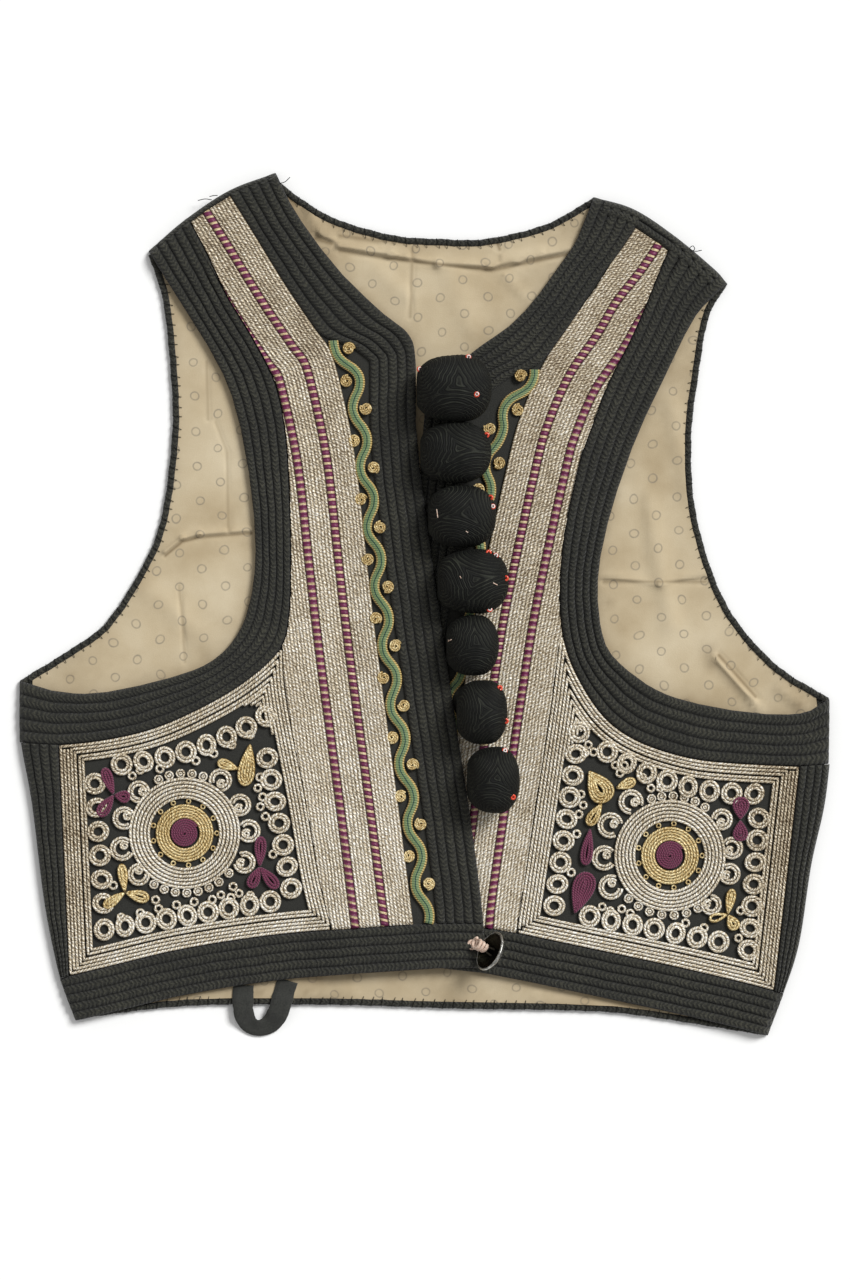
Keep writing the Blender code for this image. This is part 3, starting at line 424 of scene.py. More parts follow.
def printedCotton():
    # thin plain-weave lining, printed with small grey rings in half-drop columns, with brown stains and darker
    # edges, and painted shade in its sharp folds and beside the fronts' edges
    material, tree, surface = newMaterial("printedCottonLining", Roughness=0.9, Sheen_Weight=0.1)
    place = addNode(tree, "TexCoord", out="Object")
    # in millimetres, and turned with the cut
    turned = addNode(tree, "Mapping", {"Vector": place, "Rotation": (0, 0, radians(-2.5)),
                                       "Scale": (1 / mm,) * 3})
    jitter = addNode(tree, "TexNoise", {"Vector": place, "Scale": 40.0}, out="Color")
    parts = addNode(tree, "SeparateXYZ", turned).node.outputs
    shake = addNode(tree, "SeparateXYZ", jitter).node.outputs
    x = addNode(tree, "Math ADD", parts[0], addNode(tree, "Math MULTIPLY", shake[0], 5.0))
    y = addNode(tree, "Math ADD", parts[1], addNode(tree, "Math MULTIPLY", shake[1], 5.0))
    apart, drop, ringRadius = 12.2, 18.5, 2.15
    column = addNode(tree, "Math DIVIDE", x, apart)
    odd = addNode(tree, "Math MODULO", addNode(tree, "Math ABSOLUTE", addNode(tree, "Math FLOOR", column)), 2.0)
    row = addNode(tree, "Math ADD", addNode(tree, "Math DIVIDE", y, drop),
                  addNode(tree, "Math MULTIPLY", odd, 0.5))
    dx = addNode(tree, "Math MULTIPLY", addNode(tree, "Math SUBTRACT", addNode(tree, "Math FRACT", column), 0.5),
                 apart)
    dy = addNode(tree, "Math MULTIPLY", addNode(tree, "Math SUBTRACT", addNode(tree, "Math FRACT", row), 0.5),
                 drop)
    far = addNode(tree, "Math SQRT", addNode(tree, "Math ADD", addNode(tree, "Math MULTIPLY", dx, dx),
                                             addNode(tree, "Math MULTIPLY", dy, dy)))
    off = addNode(tree, "Math ABSOLUTE", addNode(tree, "Math SUBTRACT", far, ringRadius))
    ring = addNode(tree, "Math SUBTRACT", 1.0, addNode(tree, "Math DIVIDE", off, 0.6), use_clamp=True)
    fade = mottle(tree, 3 * mm, 3)
    ring = addNode(tree, "Math MULTIPLY", ring, addNode(tree, "Math ADD", fade, 0.25), use_clamp=True)
    base = addNode(tree, "ValToRGB", mottle(tree, 45 * mm, 4),
                   stops=((0.3, "#b09e7e"), (0.5, "#c5b596"), (0.7, "#d3c5a8")))
    weave = mottle(tree, 0.6 * mm, 2)
    base = addNode(tree, "Mix RGBA", {0: addNode(tree, "Math MULTIPLY", weave, 0.25), 6: base, 7: "#a08b68"},
                   out=2)
    colour = addNode(tree, "Mix RGBA", {0: addNode(tree, "Math MULTIPLY", ring, 0.75), 6: base, 7: "#66625c"},
                     out=2)
    # brown stains mixed with painted shade: the folds' troughs and the strip beside each front's edge are darkened
    # in the colour
    stainsAndShade = addNode(tree, "Attribute", attribute_name="stainsAndShade", out="Fac")
    colour = addNode(tree, "Mix RGBA", {0: addNode(tree, "Math MULTIPLY", stainsAndShade, 0.7), 6: colour, 7: "#6a5638"},
                     out=2)
    coat(tree, surface, colour, weave, 0.15 * mm, 0.5)
    return material


def woundThread():
    # mercerised black thread wound on in close turns, with a painted highlight along the crest of each turn
    material, tree, surface = newMaterial("woundBlackThread", Roughness=0.75, Specular_IOR_Level=0.25)
    along, across, side = cordSpace(tree)
    ridge = stripe(tree, addNode(tree, "Math DIVIDE", along, 1.9))
    thread = stripe(tree, addNode(tree, "Math DIVIDE", along, 0.95))
    patch = mottle(tree, 9 * mm, 3)
    # painted highlight: the colour lightens on each turn's crest, more in some patches
    tone = addNode(tree, "Math ADD", addNode(tree, "Math MULTIPLY", ridge, patch),
                   addNode(tree, "Math MULTIPLY", thread, 0.2))
    tone = addNode(tree, "Math ADD", tone, addNode(tree, "Math MULTIPLY", mottle(tree, 0.9 * mm, 3), 0.25))
    coat(tree, surface, addNode(tree, "ValToRGB", tone,
                                stops=((0.3, "#060705"), (0.6, "#12130f"), (0.95, "#2f3129"))), thread,
         0.25 * mm, 0.9)
    return material


def plainMaterial(name, dark, light, grain, **shader):
    material, tree, surface = newMaterial(name, **shader)
    tone = mottle(tree, grain, 4)
    coat(tree, surface, addNode(tree, "ValToRGB", tone, stops=((0.3, dark), (0.7, light))), tone, grain * 0.3,
         0.5)
    return material


def tarnishedMetal():
    # cast white metal: its face is worn bright over beading,
    # and its hollow is dark with tarnish and a painted reflection of the dark wool
    material, tree, surface = newMaterial("tarnishedWhiteMetal", Roughness=0.35, Metallic=1.0)
    radius, across, side = cordSpace(tree)
    fleck = mottle(tree, 1.4 * mm, 3)
    face = addNode(tree, "ValToRGB", fleck, stops=((0.3, "#7d7c78"), (0.55, "#b7b6b1"), (0.75, "#e4e3de")))
    # painted reflection: the hollow is near black, partly tarnish and partly the dark wool it would reflect
    dark = addNode(tree, "ValToRGB", mottle(tree, 4 * mm), stops=((0.3, "#171712"), (0.7, "#34332a")))
    colour = addNode(tree, "Mix RGBA", {0: addNode(tree, "Math LESS_THAN", radius, 0.0), 6: face, 7: dark}, out=2)
    coat(tree, surface, colour, fleck, 0.5 * mm, 0.7)
    return material


stuff = {
    "felt": clothBlack(), "wool": woolBraid(), "cotton": printedCotton(), "twist": twistCord(),
    "silver": metalCord("agedSilverCord", "#64523b", "#d3c4a6", "#fffdf5", 0.15, 2.0),
    "gold": metalCord("agedGiltCord", "#77591f", "#cdb074", "#f8e9b8", 0.2, 2.0),
    "purple": silkCord("purpleFlossCord", "#3d0c24", "#7b244d"),
    "wave": waveBraid(), "thread": woundThread(),
    "metal": tarnishedMetal(),
    # iron wire, brown with age
    "wire": plainMaterial("agedIronWire", "#1f1c17", "#4b453a", 1 * mm, Roughness=0.6, Metallic=0.8),
    "pink": plainMaterial("fadedPinkThread", "#b8937c", "#efdccb", 0.8 * mm, Roughness=0.85),
    "red": plainMaterial("coralGlassBead", "#c2321f", "#ea5a3c", 1 * mm, Roughness=0.15),
    "white": plainMaterial("milkGlassBead", "#d9cfc9", "#f7efe9", 1 * mm, Roughness=0.15),
    # mercerised tape, woven flat
    "tape": plainMaterial("blackWovenTape", "#191a17", "#31322d", 0.7 * mm, Roughness=0.85, Sheen_Weight=0.2)}
print("materials ready")


# Making pieces

def deselect():
    bpy.ops.object.select_all(action="DESELECT")


def takeNew(name, material):
    piece = bpy.context.object
    piece.name = piece.data.name = name
    piece.data.materials.clear()
    piece.data.materials.append(stuff[material])
    return piece


def wovenMesh(name, points, uv, material, closed=False, weld=True):
    # a grid primitive bent round: points[i, j] is row i along the cord, and column j round its section.
    # uv[i, j] is in millimetres along, and in cords across
    n, m = points.shape[:2]
    deselect()
    bpy.ops.mesh.primitive_grid_add(x_subdivisions=m, y_subdivisions=n - 1 + closed, size=1)
    piece = takeNew(name, material)
    mesh = piece.data
    full = np.concatenate([points, points[:, :1]], 1)
    if closed:
        full = np.concatenate([full, full[:1]], 0)
    mesh.vertices.foreach_set("co", full.reshape(-1).astype(np.float32))
    mesh.uv_layers[0].name = "cord"
    which = np.empty(len(mesh.loops), dtype=np.int32)
    mesh.loops.foreach_get("vertex_index", which)
    mesh.uv_layers[0].data.foreach_set("uv", uv.reshape(-1, 2)[which].reshape(-1).astype(np.float32))
    mesh.update()
    if weld:
        bpy.ops.object.mode_set(mode="EDIT")
        bpy.ops.mesh.select_all(action="SELECT")
        bpy.ops.mesh.remove_doubles(threshold=0.02 * mm)
        if not closed:
            bpy.ops.mesh.fill_holes(sides=0)
        bpy.ops.mesh.normals_make_consistent(inside=False)
        bpy.ops.object.mode_set(mode="OBJECT")
    bpy.ops.object.shade_smooth()
    return piece


def joined(name, pieces, material=None):
    deselect()
    for piece in pieces:
        piece.select_set(True)
    bpy.context.view_layer.objects.active = pieces[0]
    if len(pieces) > 1:
        bpy.ops.object.join()
    piece = bpy.context.object
    piece.name = piece.data.name = name
    if material:
        piece.data.materials.clear()
        piece.data.materials.append(stuff[material])
    return piece


def cordLine(name, line, wide, material, closed=False, sides=6):
    # a round cord along points in space, flattened a little where it is sewn down
    n = len(line)
    ways = np.roll(line, -1, 0) - np.roll(line, 1, 0) if closed else np.gradient(line, axis=0)
    ways /= np.maximum(np.linalg.norm(ways, axis=1), 1e-9)[:, None]
    out = np.cross(ways, [0, 0, 1])
    out /= np.maximum(np.linalg.norm(out, axis=1), 1e-9)[:, None]
    up = np.cross(out, ways)
    turns = 2 * pi * (np.arange(sides) + 0.5) / sides
    points = line[:, None] + (out[:, None] * np.cos(turns)[None, :, None]
                              + up[:, None] * np.sin(turns)[None, :, None] * 0.9) * wide / 2
    loop = np.vstack([line, line[:1]]) if closed else line
    along = np.concatenate([[0], np.cumsum(np.linalg.norm(np.diff(loop, axis=0), axis=1))]) / mm
    if closed:
        along *= max(round(along[-1] / 1.25), 1) * 1.25 / along[-1]
    across = 0.5 + 0.5 * np.cos(np.append(turns, turns[0]))
    uv = np.stack(np.meshgrid(along, across, indexing="ij"), 2)
    return wovenMesh(name, points, uv, material, closed)


def layBand(name, lineA, lineB, cords, parts, high, material, f, hump, limit=None, spacing=2 * mm):
    # cords laid side by side between two lines, on the cloth of front f
    lineA = evenLine(lineA, spacing)
    lineB = evenLine(lineB, spacing, len(lineA))
    share = np.linspace(0, 1, cords * parts + 1)
    middle = (lineA + lineB) / 2
    along = runOf(middle)
    inCord = (share * cords) % 1
    inCord[-1] = 1
    nudge = np.sin(pi * share)[None] * (wobble(along, len(name))[:, None]
                                       + wobble(share * 0.4, 3, 0.2)[None] * 0.5) * 0.35 * mm
    reach = np.hypot(*(lineB - lineA).T)[:, None]
    place = np.clip(share[None] + nudge / np.maximum(reach, 1 * mm), 0, 1)
    if limit is not None:
        place = np.clip(place, *limit(lineA, lineB))
    flat = lineA[:, None] + (lineB - lineA)[:, None] * place[..., None]
    ground = topOf(f, flat.reshape(-1, 2)).reshape(flat.shape[:2]) + cloth["lay"]
    rise = high * hump(inCord)[None] * (1 + 0.06 * wobble(along, 5, 9 * mm)[:, None])
    top = np.dstack([flat, ground + rise])
    foot = np.dstack([flat[:, [-1, 0]], ground[:, [-1, 0]] - 0.2 * mm])
    points = np.concatenate([top, foot], 1)
    across = np.append(share * cords, [cords, 0, 0])
    uv = np.stack(np.meshgrid(along / mm, across, indexing="ij"), 2)
    uv[:, -1, 1] = -0.01
    return wovenMesh(name, points, uv, material)


def woolHump(t):
    return np.clip(np.sin(pi * t), 0, 1) ** 0.55 * 0.85 + 0.15 - 0.1 * np.exp(-((t - 0.5) / 0.1) ** 2)


def cordHump(t):
    return 0.45 + 0.55 * np.clip(np.sin(pi * t), 0, 1) ** 0.7


def finish(piece, slot=None, *nodes):
    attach(piece, "root")
    if nodes:
        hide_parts(*nodes)
    return piece


# Cloth: thin shells cut to the frame's own outlines

shell = {"grid": 3 * mm, "creased": 2.6 * mm, "foldNear": 3.2 * mm, "foldCuts": 3, "sharp": 2.5 * mm,
         "margin": 10 * mm, "tall": 60 * mm, "smooth": radians(40)}


def trimmedShell(name, node, low, thick, material, grid):
    (x0, y0), (x1, y1) = [corner[:2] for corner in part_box(node)]
    x0, y0, x1, y1 = x0 - shell["margin"], y0 - shell["margin"], x1 + shell["margin"], y1 + shell["margin"]
    deselect()
    bpy.ops.mesh.primitive_grid_add(x_subdivisions=int((x1 - x0) / grid),
                                    y_subdivisions=int((y1 - y0) / grid), size=1,
                                    location=((x0 + x1) / 2, (y0 + y1) / 2, low), scale=(1, 1, 1))
    piece = takeNew(name, material)
    piece.scale = (x1 - x0, y1 - y0, 1)
    bpy.ops.object.transform_apply(location=True, rotation=True, scale=True)
    bpy.ops.object.mode_set(mode="EDIT")
    bpy.ops.mesh.select_all(action="SELECT")
    bpy.ops.mesh.extrude_region_move(TRANSFORM_OT_translate={"value": (0, 0, thick)})
    bpy.ops.mesh.select_all(action="SELECT")
    bpy.ops.mesh.normals_make_consistent(inside=False)
    bpy.ops.object.mode_set(mode="OBJECT")
    outline = prismOf(bpy.data.objects[node])
    trim = piece.modifiers.new("trim", "BOOLEAN")
    trim.operation = "INTERSECT"
    trim.object = outline
    deselect()
    piece.select_set(True)
    bpy.context.view_layer.objects.active = piece
    bpy.ops.object.modifier_apply(modifier="trim")
    bpy.data.objects.remove(outline)
    return piece


def prismOf(source):
    # the outline of a flat solid, made tall
    bm = bmesh.new()
    bm.from_mesh(source.data)
    bmesh.ops.remove_doubles(bm, verts=bm.verts[:], dist=0.005 * mm)
    under = [f for f in bm.faces if f.normal.z > -0.7]
    bmesh.ops.delete(bm, geom=under, context="FACES")
    for v in bm.verts:
        v.co.z = -shell["tall"]
    raised = bmesh.ops.extrude_face_region(bm, geom=bm.faces[:])
    for v in raised["geom"]:
        if isinstance(v, bmesh.types.BMVert):
            v.co.z = shell["tall"]
    bmesh.ops.recalc_face_normals(bm, faces=bm.faces[:])
    mesh = bpy.data.meshes.new("outline")
    bm.to_mesh(mesh)
    bm.free()
    prism = bpy.data.objects.new("outline", mesh)
    bpy.context.collection.objects.link(prism)
    return prism


def reshape(piece, heights, low, thick):
    # moves each point of a shell to the height of its cloth, keeping the wall's thickness
    mesh = piece.data
    co = np.empty(len(mesh.vertices) * 3, dtype=np.float32)
    mesh.vertices.foreach_get("co", co)
    co = co.reshape(-1, 3).astype(float)
    wall = np.clip((co[:, 2] - low) / thick, 0, 1)
    co[:, 2] = np.maximum(heights(co[:, :2]) + (wall - 1) * thick, 0)
    mesh.vertices.foreach_set("co", co.reshape(-1).astype(np.float32))
    mesh.update()
    deselect()
    piece.select_set(True)
    bpy.context.view_layer.objects.active = piece
    bpy.ops.object.shade_smooth_by_angle(angle=shell["smooth"])
    return co


# Creases pressed into the lining. Columns: from across, up, to across, up, height, width, all in millimetres
creases = table("""
    -6.6  192   -7.8  155   -0.5 1.6
    -45.6 192.6 -18   188.2  1.1 2.2
    -18   188.2  6.8  183.1  1.2 2.2
    6.8   183.1  35.8 182.1  1.2 2.2
    35.8  182.1  50.3 185.3  1.2 2.2
    50.3  185.3  77.9 191.1  1.1 2.4
    -45.6 190.2 -18   185.8 -0.8 1.6
    -18   185.8  35.8 179.6 -0.9 1.6
    35.8  179.6  77.9 188.6 -0.8 1.6
    -45.6 198.4 -25.2 195.5 -0.6 1.8
    -25.2 195.5  38.7 194   -0.6 1.8
    38.7  194    40.1 191.1 -0.9 1.6
    41.6  186.7  62   189    0.9 1.8
    -71.7 217.3 -64.4 214.4 -0.7 1.6
    -64.4 214.4 -55.7 199.9  0.9 2.2
    -55.7 199.9 -49.9 196.2  0.8 2.0
    -58.6 196.9 -49.9 194   -0.8 1.6
    43    176.6  56.1 162.8  0.6 2.0
    -24   178    -10  166    0.5 5.0
    14    176    24   150    0.5 6.0
    -138.9 28.8 -129.9 36.1  0.9 1.8
    -129.9 36.1 -121   38.2  0.9 1.8
    -121   38.2 -92.6  40.5  0.8 1.8
    -138.9 27   -129.9 34.4 -1.0 1.3
    -129.9 34.4 -121   36.6 -1.0 1.3
    -121   36.6 -92.6  39   -0.8 1.3
    -116.9 131  -116.1 100  -0.4 1.3
    -112   98.6 -105.9 82.4 -0.3 1.3
    -105.9 82.4 -105.2 40.2 -0.4 1.3
    -131.6 10.9 -128.3 -29.7 -0.4 1.3
    -150   10   -115  -20    0.5 6.0
    -190  -36   -140  -34   -0.6 6.0
    94    16    126   12     0.8 1.8
    126   12    150   17     0.8 1.8
    96    13    150   13    -0.6 1.6
    118   60    132  -10     0.7 5.0
    110   30    120  100    -0.6 6.0
    154.9 -26.9 174.5 -49.3  1.2 2.0
    174.5 -49.3 180.1 -57.7  1.2 2.0
    157.5 -26.5 177   -48.5 -0.9 1.6
    178   -22   205  -50    -0.8 3.0
    190   -44   202  -53     1.0 2.4
    132   110   140   60     0.6 4.0
    -120  -212  -40  -206    0.6 3.0
    -20   -205   40  -208   -0.6 3.0
    60    -210  130  -217    0.6 3.0""")
# Brown marks on it. Columns: across, up, half width, strength in thousandths
stains = table("""
    152   -24   5    600
    153   -31   4    600
    199.7 -52.8 4    700
    98.5  1.5   3    500
    52.5  173.7 4    300
    -55   198   9    260
    -190  -38  16   300
    -150  -44  12   250
    -116  -16   12   250
    -72   212   12   350
    72    208   10   350
    60    180   8    200
    -139  140  9    150
    140   120   8    250
    -95   -207  16   500
    -60   -206  14   400
    196   -42   12   350
    10    -209  18   200""")


def depthIn(f, points):
    # how far inside a front's outline each point is, below 0 outside it
    deep = np.full(len(points), 1.0)
    for name, way in (("front", -1), ("arm", 1), ("hem", 1)):
        far, along, side = nearestOn(f[name], points)
        deep = np.minimum(deep, far * np.sign(side * way * f["turn"]))
    return deep


def creaseAt(points):
    high = np.zeros(len(points))
    for x0, y0, x1, y1, tall, wide in creases:
        far, along, side = nearestOn(np.array([[x0, y0], [x1, y1]]), points)
        high += tall * np.exp(-(far / wide) ** 2)
    return high


def paintedFoldShadeAt(points):
    # painted shade lies in the sharp folds only: their troughs are darkened in the colour
    dark = np.zeros(len(points))
    for x0, y0, x1, y1, tall, wide in creases:
        if tall < 0 and wide < shell["sharp"]:
            far, along, side = nearestOn(np.array([[x0, y0], [x1, y1]]), points)
            dark = np.maximum(dark, -tall / mm * np.exp(-(far / (wide * 0.5)) ** 2))
    return dark


def stainsAndShadeAt(points):
    # brown stains, darker towards the back's edges, and painted shade beside the fronts' edges
    stainsAndShade = np.zeros(len(points))
    for x, y, wide, strength in stains:
        stainsAndShade += strength * np.exp(-((points[:, 0] - x) ** 2 + (points[:, 1] - y) ** 2) / wide ** 2)
    for name in ("neck", "leftArm", "rightArm", "hem"):
        stainsAndShade += 0.4 * np.exp(-nearestOn(smoothLine(table(backLines[name])), points)[0] / (7 * mm))
    # painted shade: the lining darkens beside each front's edge, where the front lies over it
    for f in (left, right):
        for name in ("front", "arm", "hem"):
            stainsAndShade += 0.45 * np.exp(-nearestOn(f[name], points)[0] / (5 * mm))
    grain = 0.75 + 0.5 * wobble(points[:, 0] + 0.6 * points[:, 1], 2, 23 * mm) * wobble(points[:, 1], 5, 17 * mm)
    return np.clip(stainsAndShade * grain, 0, 1)


def refineFolds(piece):
    # a finer mesh where a sharp fold shows
    middles = np.array([p.center[:2] for p in piece.data.polygons])
    near = np.zeros(len(middles), dtype=bool)
    for x0, y0, x1, y1, tall, wide in creases:
        if tall < 0 and wide < shell["sharp"]:
            near |= nearestOn(np.array([[x0, y0], [x1, y1]]), middles)[0] < shell["foldNear"]
    near &= np.maximum(depthIn(left, middles), depthIn(right, middles)) < 2 * mm
    bpy.ops.object.mode_set(mode="EDIT")
    bpy.ops.mesh.select_mode(type="FACE")
    bpy.ops.mesh.select_all(action="DESELECT")
    bpy.ops.object.mode_set(mode="OBJECT")
    piece.data.polygons.foreach_set("select", near)
    bpy.ops.object.mode_set(mode="EDIT")
    bpy.ops.mesh.subdivide(number_cuts=shell["foldCuts"])
    bpy.ops.mesh.select_mode(type="VERT")
    bpy.ops.object.mode_set(mode="OBJECT")


def makeLining():
    thick, low = cloth["liningThick"], cloth["liningBase"]
    piece = trimmedShell("backLining", "back_lining", low, thick, "cotton", shell["creased"])
    refineFolds(piece)

    def heights(points):
        soft = 0.35 * mm * wobble(points[:, 0] + 0.3 * points[:, 1], 1, 60 * mm) \
            * wobble(points[:, 1] - 0.4 * points[:, 0], 4, 75 * mm)
        # folds stand freely in the openings, and are pressed flat under the fronts
        bare = ease(-np.maximum(depthIn(left, points), depthIn(right, points)) / (6 * mm))
        high = creaseAt(points) * (1 + bare) + soft
        return low + thick + np.clip(high, -0.25 * mm, (1.1 + 1.5 * bare) * mm)

    co = reshape(piece, heights, low, thick)
    # brown stains and darker edges, with painted shade beside the fronts' edges and, darkest, in its sharp folds
    stainsAndShade = piece.data.attributes.new("stainsAndShade", "FLOAT", "POINT")
    paintedFoldShade = paintedFoldShadeAt(co[:, :2])
    stainsAndShade.data.foreach_set("value", np.clip(stainsAndShadeAt(co[:, :2]) + paintedFoldShade, 0, 1).astype(np.float32))
    return finish(piece, "printed_cotton", "back_lining")


def makeBack():
    piece = trimmedShell("backPanel", "back_panel", 0.0, cloth["back"], "felt", shell["grid"])
    reshape(piece, lambda points: np.full(len(points), cloth["back"]), 0.0, cloth["back"])
    return finish(piece, "felted_wool", "back_panel")


def makeFront(f):
    side = f["name"]
    low, thick = cloth["frontBase"], cloth["frontThick"]
    piece = trimmedShell(side + "Front", "front_" + side, low, thick, "felt", shell["grid"])
    reshape(piece, lambda points: topOf(f, points), low, thick)
    return finish(piece, "felted_wool", "front_" + side)


floorSize = {"across": 3.0, "low": -0.2 * mm}
makeBack()
makeLining()
makeFront(right)
makeFront(left)
print("cloth shells cut")


# Black wool braid

def makeWool(f):
    side, turn = f["name"], f["turn"]
    cords, high = braid["cords"], braid["high"]

    edgeA = cutLine(f["front"], after=f["hemClear"])
    edgeB = cutLine(f["edgeIn"], before=f["shoulder"], after=f["hemClear"])
    # round the neck the cords spread until they reach the silver
    place = runOf(f["silver"])
    along = nearestOn(f["silver"], edgeB)[1]
    reach = np.stack([np.interp(along, place, f["silver"][:, k]) for k in (0, 1)], 1)
    spread = ease((edgeB[:, 1] - wave["top"][side] + 4 * mm) / (16 * mm))[:, None]
    edgeB = edgeB + (reach - edgeB) * spread * 0.97
    piece = layBand(side + "EdgeBraid", edgeA, edgeB, cords, 8, high, "wool", f, woolHump)
    finish(piece, "wool_braid", "edge_braid_" + side)

    cords2, wide = braid["shoulder"][side]
    seamB = offsetLine(f["shoulder"], -turn * wide)
    seamA, seamB = cutLine(f["shoulder"])[3:-3], cutLine(seamB)[3:-3]
    piece = layBand(side + "ShoulderCord", seamA, seamB, cords2, 8, high + 0.25 * mm, "wool", f, woolHump)
    finish(piece, "wool_braid")

    armA = f["arm"]
    armB = cutLine(f["armIn"], before=f["shoulder"])
    piece = layBand(side + "ArmholeBraid", armA, armB, cords, 8, high, "wool", f, woolHump)
    finish(piece, "wool_braid", "armhole_braid_" + side)

    hemA = f["hem"]
    hemB = cutLine(f["hemIn"], before=f["side"], after=f["front"])
    piece = layBand(side + "HemBraid", hemA, hemB, cords, 8, high, "wool", f, woolHump)
    finish(piece, "wool_braid", "hem_braid_" + side)

    sideA = cutLine(f["side"], before=f["armClear"], after=f["hemClear"])
    sideB = cutLine(f["sideIn"], before=f["armClear"], after=f["hemClear"])
    piece = layBand(side + "SideBraid", sideA, sideB, 4, 8, high, "wool", f, woolHump)
    finish(piece, "wool_braid", "side_braid_" + side)


makeWool(left)
makeWool(right)
print("wool braids laid")


# Silver bands

def makeSilver(f):
    side, turn = f["name"], f["turn"]
    inner = f["silver"]
    ways = offsetLine(inner, turn * 6 * mm, 30) - inner
    ways /= np.hypot(*ways.T)[:, None]

    def limit(lineA, lineB):
        # shares of the way across that the front edge's braid, the armhole's braid and the panel leave free
        shares = np.linspace(0, 1, 41)
        near, far = np.zeros((len(lineA), 1)), np.ones((len(lineA), 1))
        points = (lineA[:, None] + (lineB - lineA)[:, None] * shares[None, :, None]).reshape(-1, 2)
        inArm = (nearestOn(f["armClear"], points)[2] * turn < 0).reshape(len(lineA), -1)
        panelSide = (nearestOn(f["panel"], points)[2] * turn < 0) & (points[:, 1] < -22 * mm)
        inEdge = (nearestOn(f["edgeIn"], points)[2] * turn > 0).reshape(len(lineA), -1)
        blocked = inArm | panelSide.reshape(len(lineA), -1)
        for i in range(len(lineA)):
            if blocked[i].any():
                far[i] = shares[max(blocked[i].argmax() - 1, 0)]
            if inEdge[i, 0]:
                near[i] = shares[min((~inEdge[i]).argmax(), 40)]
        near = np.minimum(near, far)
        return near, far

    def band(name, node, start, end, cords, parts, high, material, hump, slot):
        seam = offsetLine(f["shoulder"], -turn * (braid["shoulder"][side][1] + braid["gap"]))
        lineA = cutLine(inner + ways * start, before=seam, after=f["hemClear"])
        lineB = cutLine(inner + ways * end, before=seam, after=f["hemClear"])
        piece = layBand(side + name, lineA, lineB, cords, parts, high, material, f, hump, limit)
        return finish(piece, slot, node + side)

    half = silver["twistWide"] / 2
    first, second = silver["firstTwist"], silver["secondTwist"]
    band("SilverInner", "silver_inner_", 0, first - half, 7, 4, silver["high"], "silver", cordHump, "silver_cord")
    band("SilverMiddle", "silver_middle_", first + half, second - half, 6, 4, silver["high"], "silver", cordHump,
         "silver_cord")
    band("SilverOuter", "silver_outer_", second + half, silver["wide"], 11, 4, silver["high"], "silver", cordHump,
         "silver_cord")
    band("TwistInner", "twist_inner_", first - half, first + half, 1, 8, silver["twistHigh"], "twist", cordHump,
         "purple_silver_twist")
    band("TwistOuter", "twist_outer_", second - half, second + half, 1, 8, silver["twistHigh"], "twist", cordHump,
         "purple_silver_twist")


makeSilver(left)
makeSilver(right)
print("silver bands laid")


# Wavy braid and the curls in its hollows

def curlLine(centre, radius, pitch, height, start):
    turns = radius / pitch
    t = np.linspace(0, 1, int(18 * turns) + 4)
    r = pitch * 0.35 + (radius - pitch * 0.35) * t
    angle = start + 2 * pi * turns * (1 - t)
    return np.stack([centre[0] + r * np.cos(angle), centre[1] + r * np.sin(angle),
                     np.full(len(t), height) + 0.15 * mm * (1 - t)], 1)


def makeWave(f):
    side, turn = f["name"], f["turn"]
    inner = evenLine(f["silver"], 2 * mm)
    far, along, where = nearestOn(f["edgeIn"], inner)
    start = runOf(f["edgeIn"])
    near = np.stack([np.interp(along, start, f["edgeIn"][:, k]) for k in (0, 1)], 1)
    free = inner[:, 1] < wave["top"][side]
    share = wave["toSilver"][side]
    middle = (inner * share + near * (1 - share))[free]
    middle = evenLine(cutLine(middle, after=f["hemClear"]), 1 * mm)
    along = np.arange(len(middle)) * np.hypot(*(middle[1] - middle[0]))
    out = waysOf(middle)[1] * turn
    swing = np.sin(2 * pi * along / wave["long"])
    line = middle + out * (wave["swing"] * np.sign(swing) * abs(swing) ** 0.8)[:, None]
    line = offsetLine(line, 0, 3)
    half = wave["wide"] / 2
    piece = layBand(side + "WavyBraid", offsetLine(line, -half), offsetLine(line, half), 1, 12, wave["high"],
                    "wave", f, lambda t: 0.55 + 0.45 * np.clip(np.sin(pi * t), 0, 1) ** 0.5, spacing=1 * mm)
    finish(piece, "green_gold_braid", "green_braid_" + side)
    curls = []
    count = int(along[-1] / (wave["long"] / 2))
    for k in range(count):
        at = (k + 0.5) * wave["long"] / 2
        i = min(int(at / along[-1] * (len(middle) - 1)), len(middle) - 1)
        away = -1 if k % 2 == 0 else 1
        centre = middle[i] + out[i] * away * (half + 1.6 * mm)
        # a curl on the wool side lies on the braid
        height = topOf(f, centre[None])[0] + cloth["lay"] + (0.9 * mm if away > 0 else 2.2 * mm)
        if side == "right" and centre[1] < wave["hiddenBelow"]:
            continue
        curls.append(cordLine("curl", curlLine(centre, wave["curl"], 1.2 * mm, height, k * 1.3),
                              wave["curlCord"], "gold"))
    finish(joined(side + "GiltCurls", curls), "gold_cord")


makeWave(left)
makeWave(right)
print("wavy braids and curls laid")


# Medallion panels

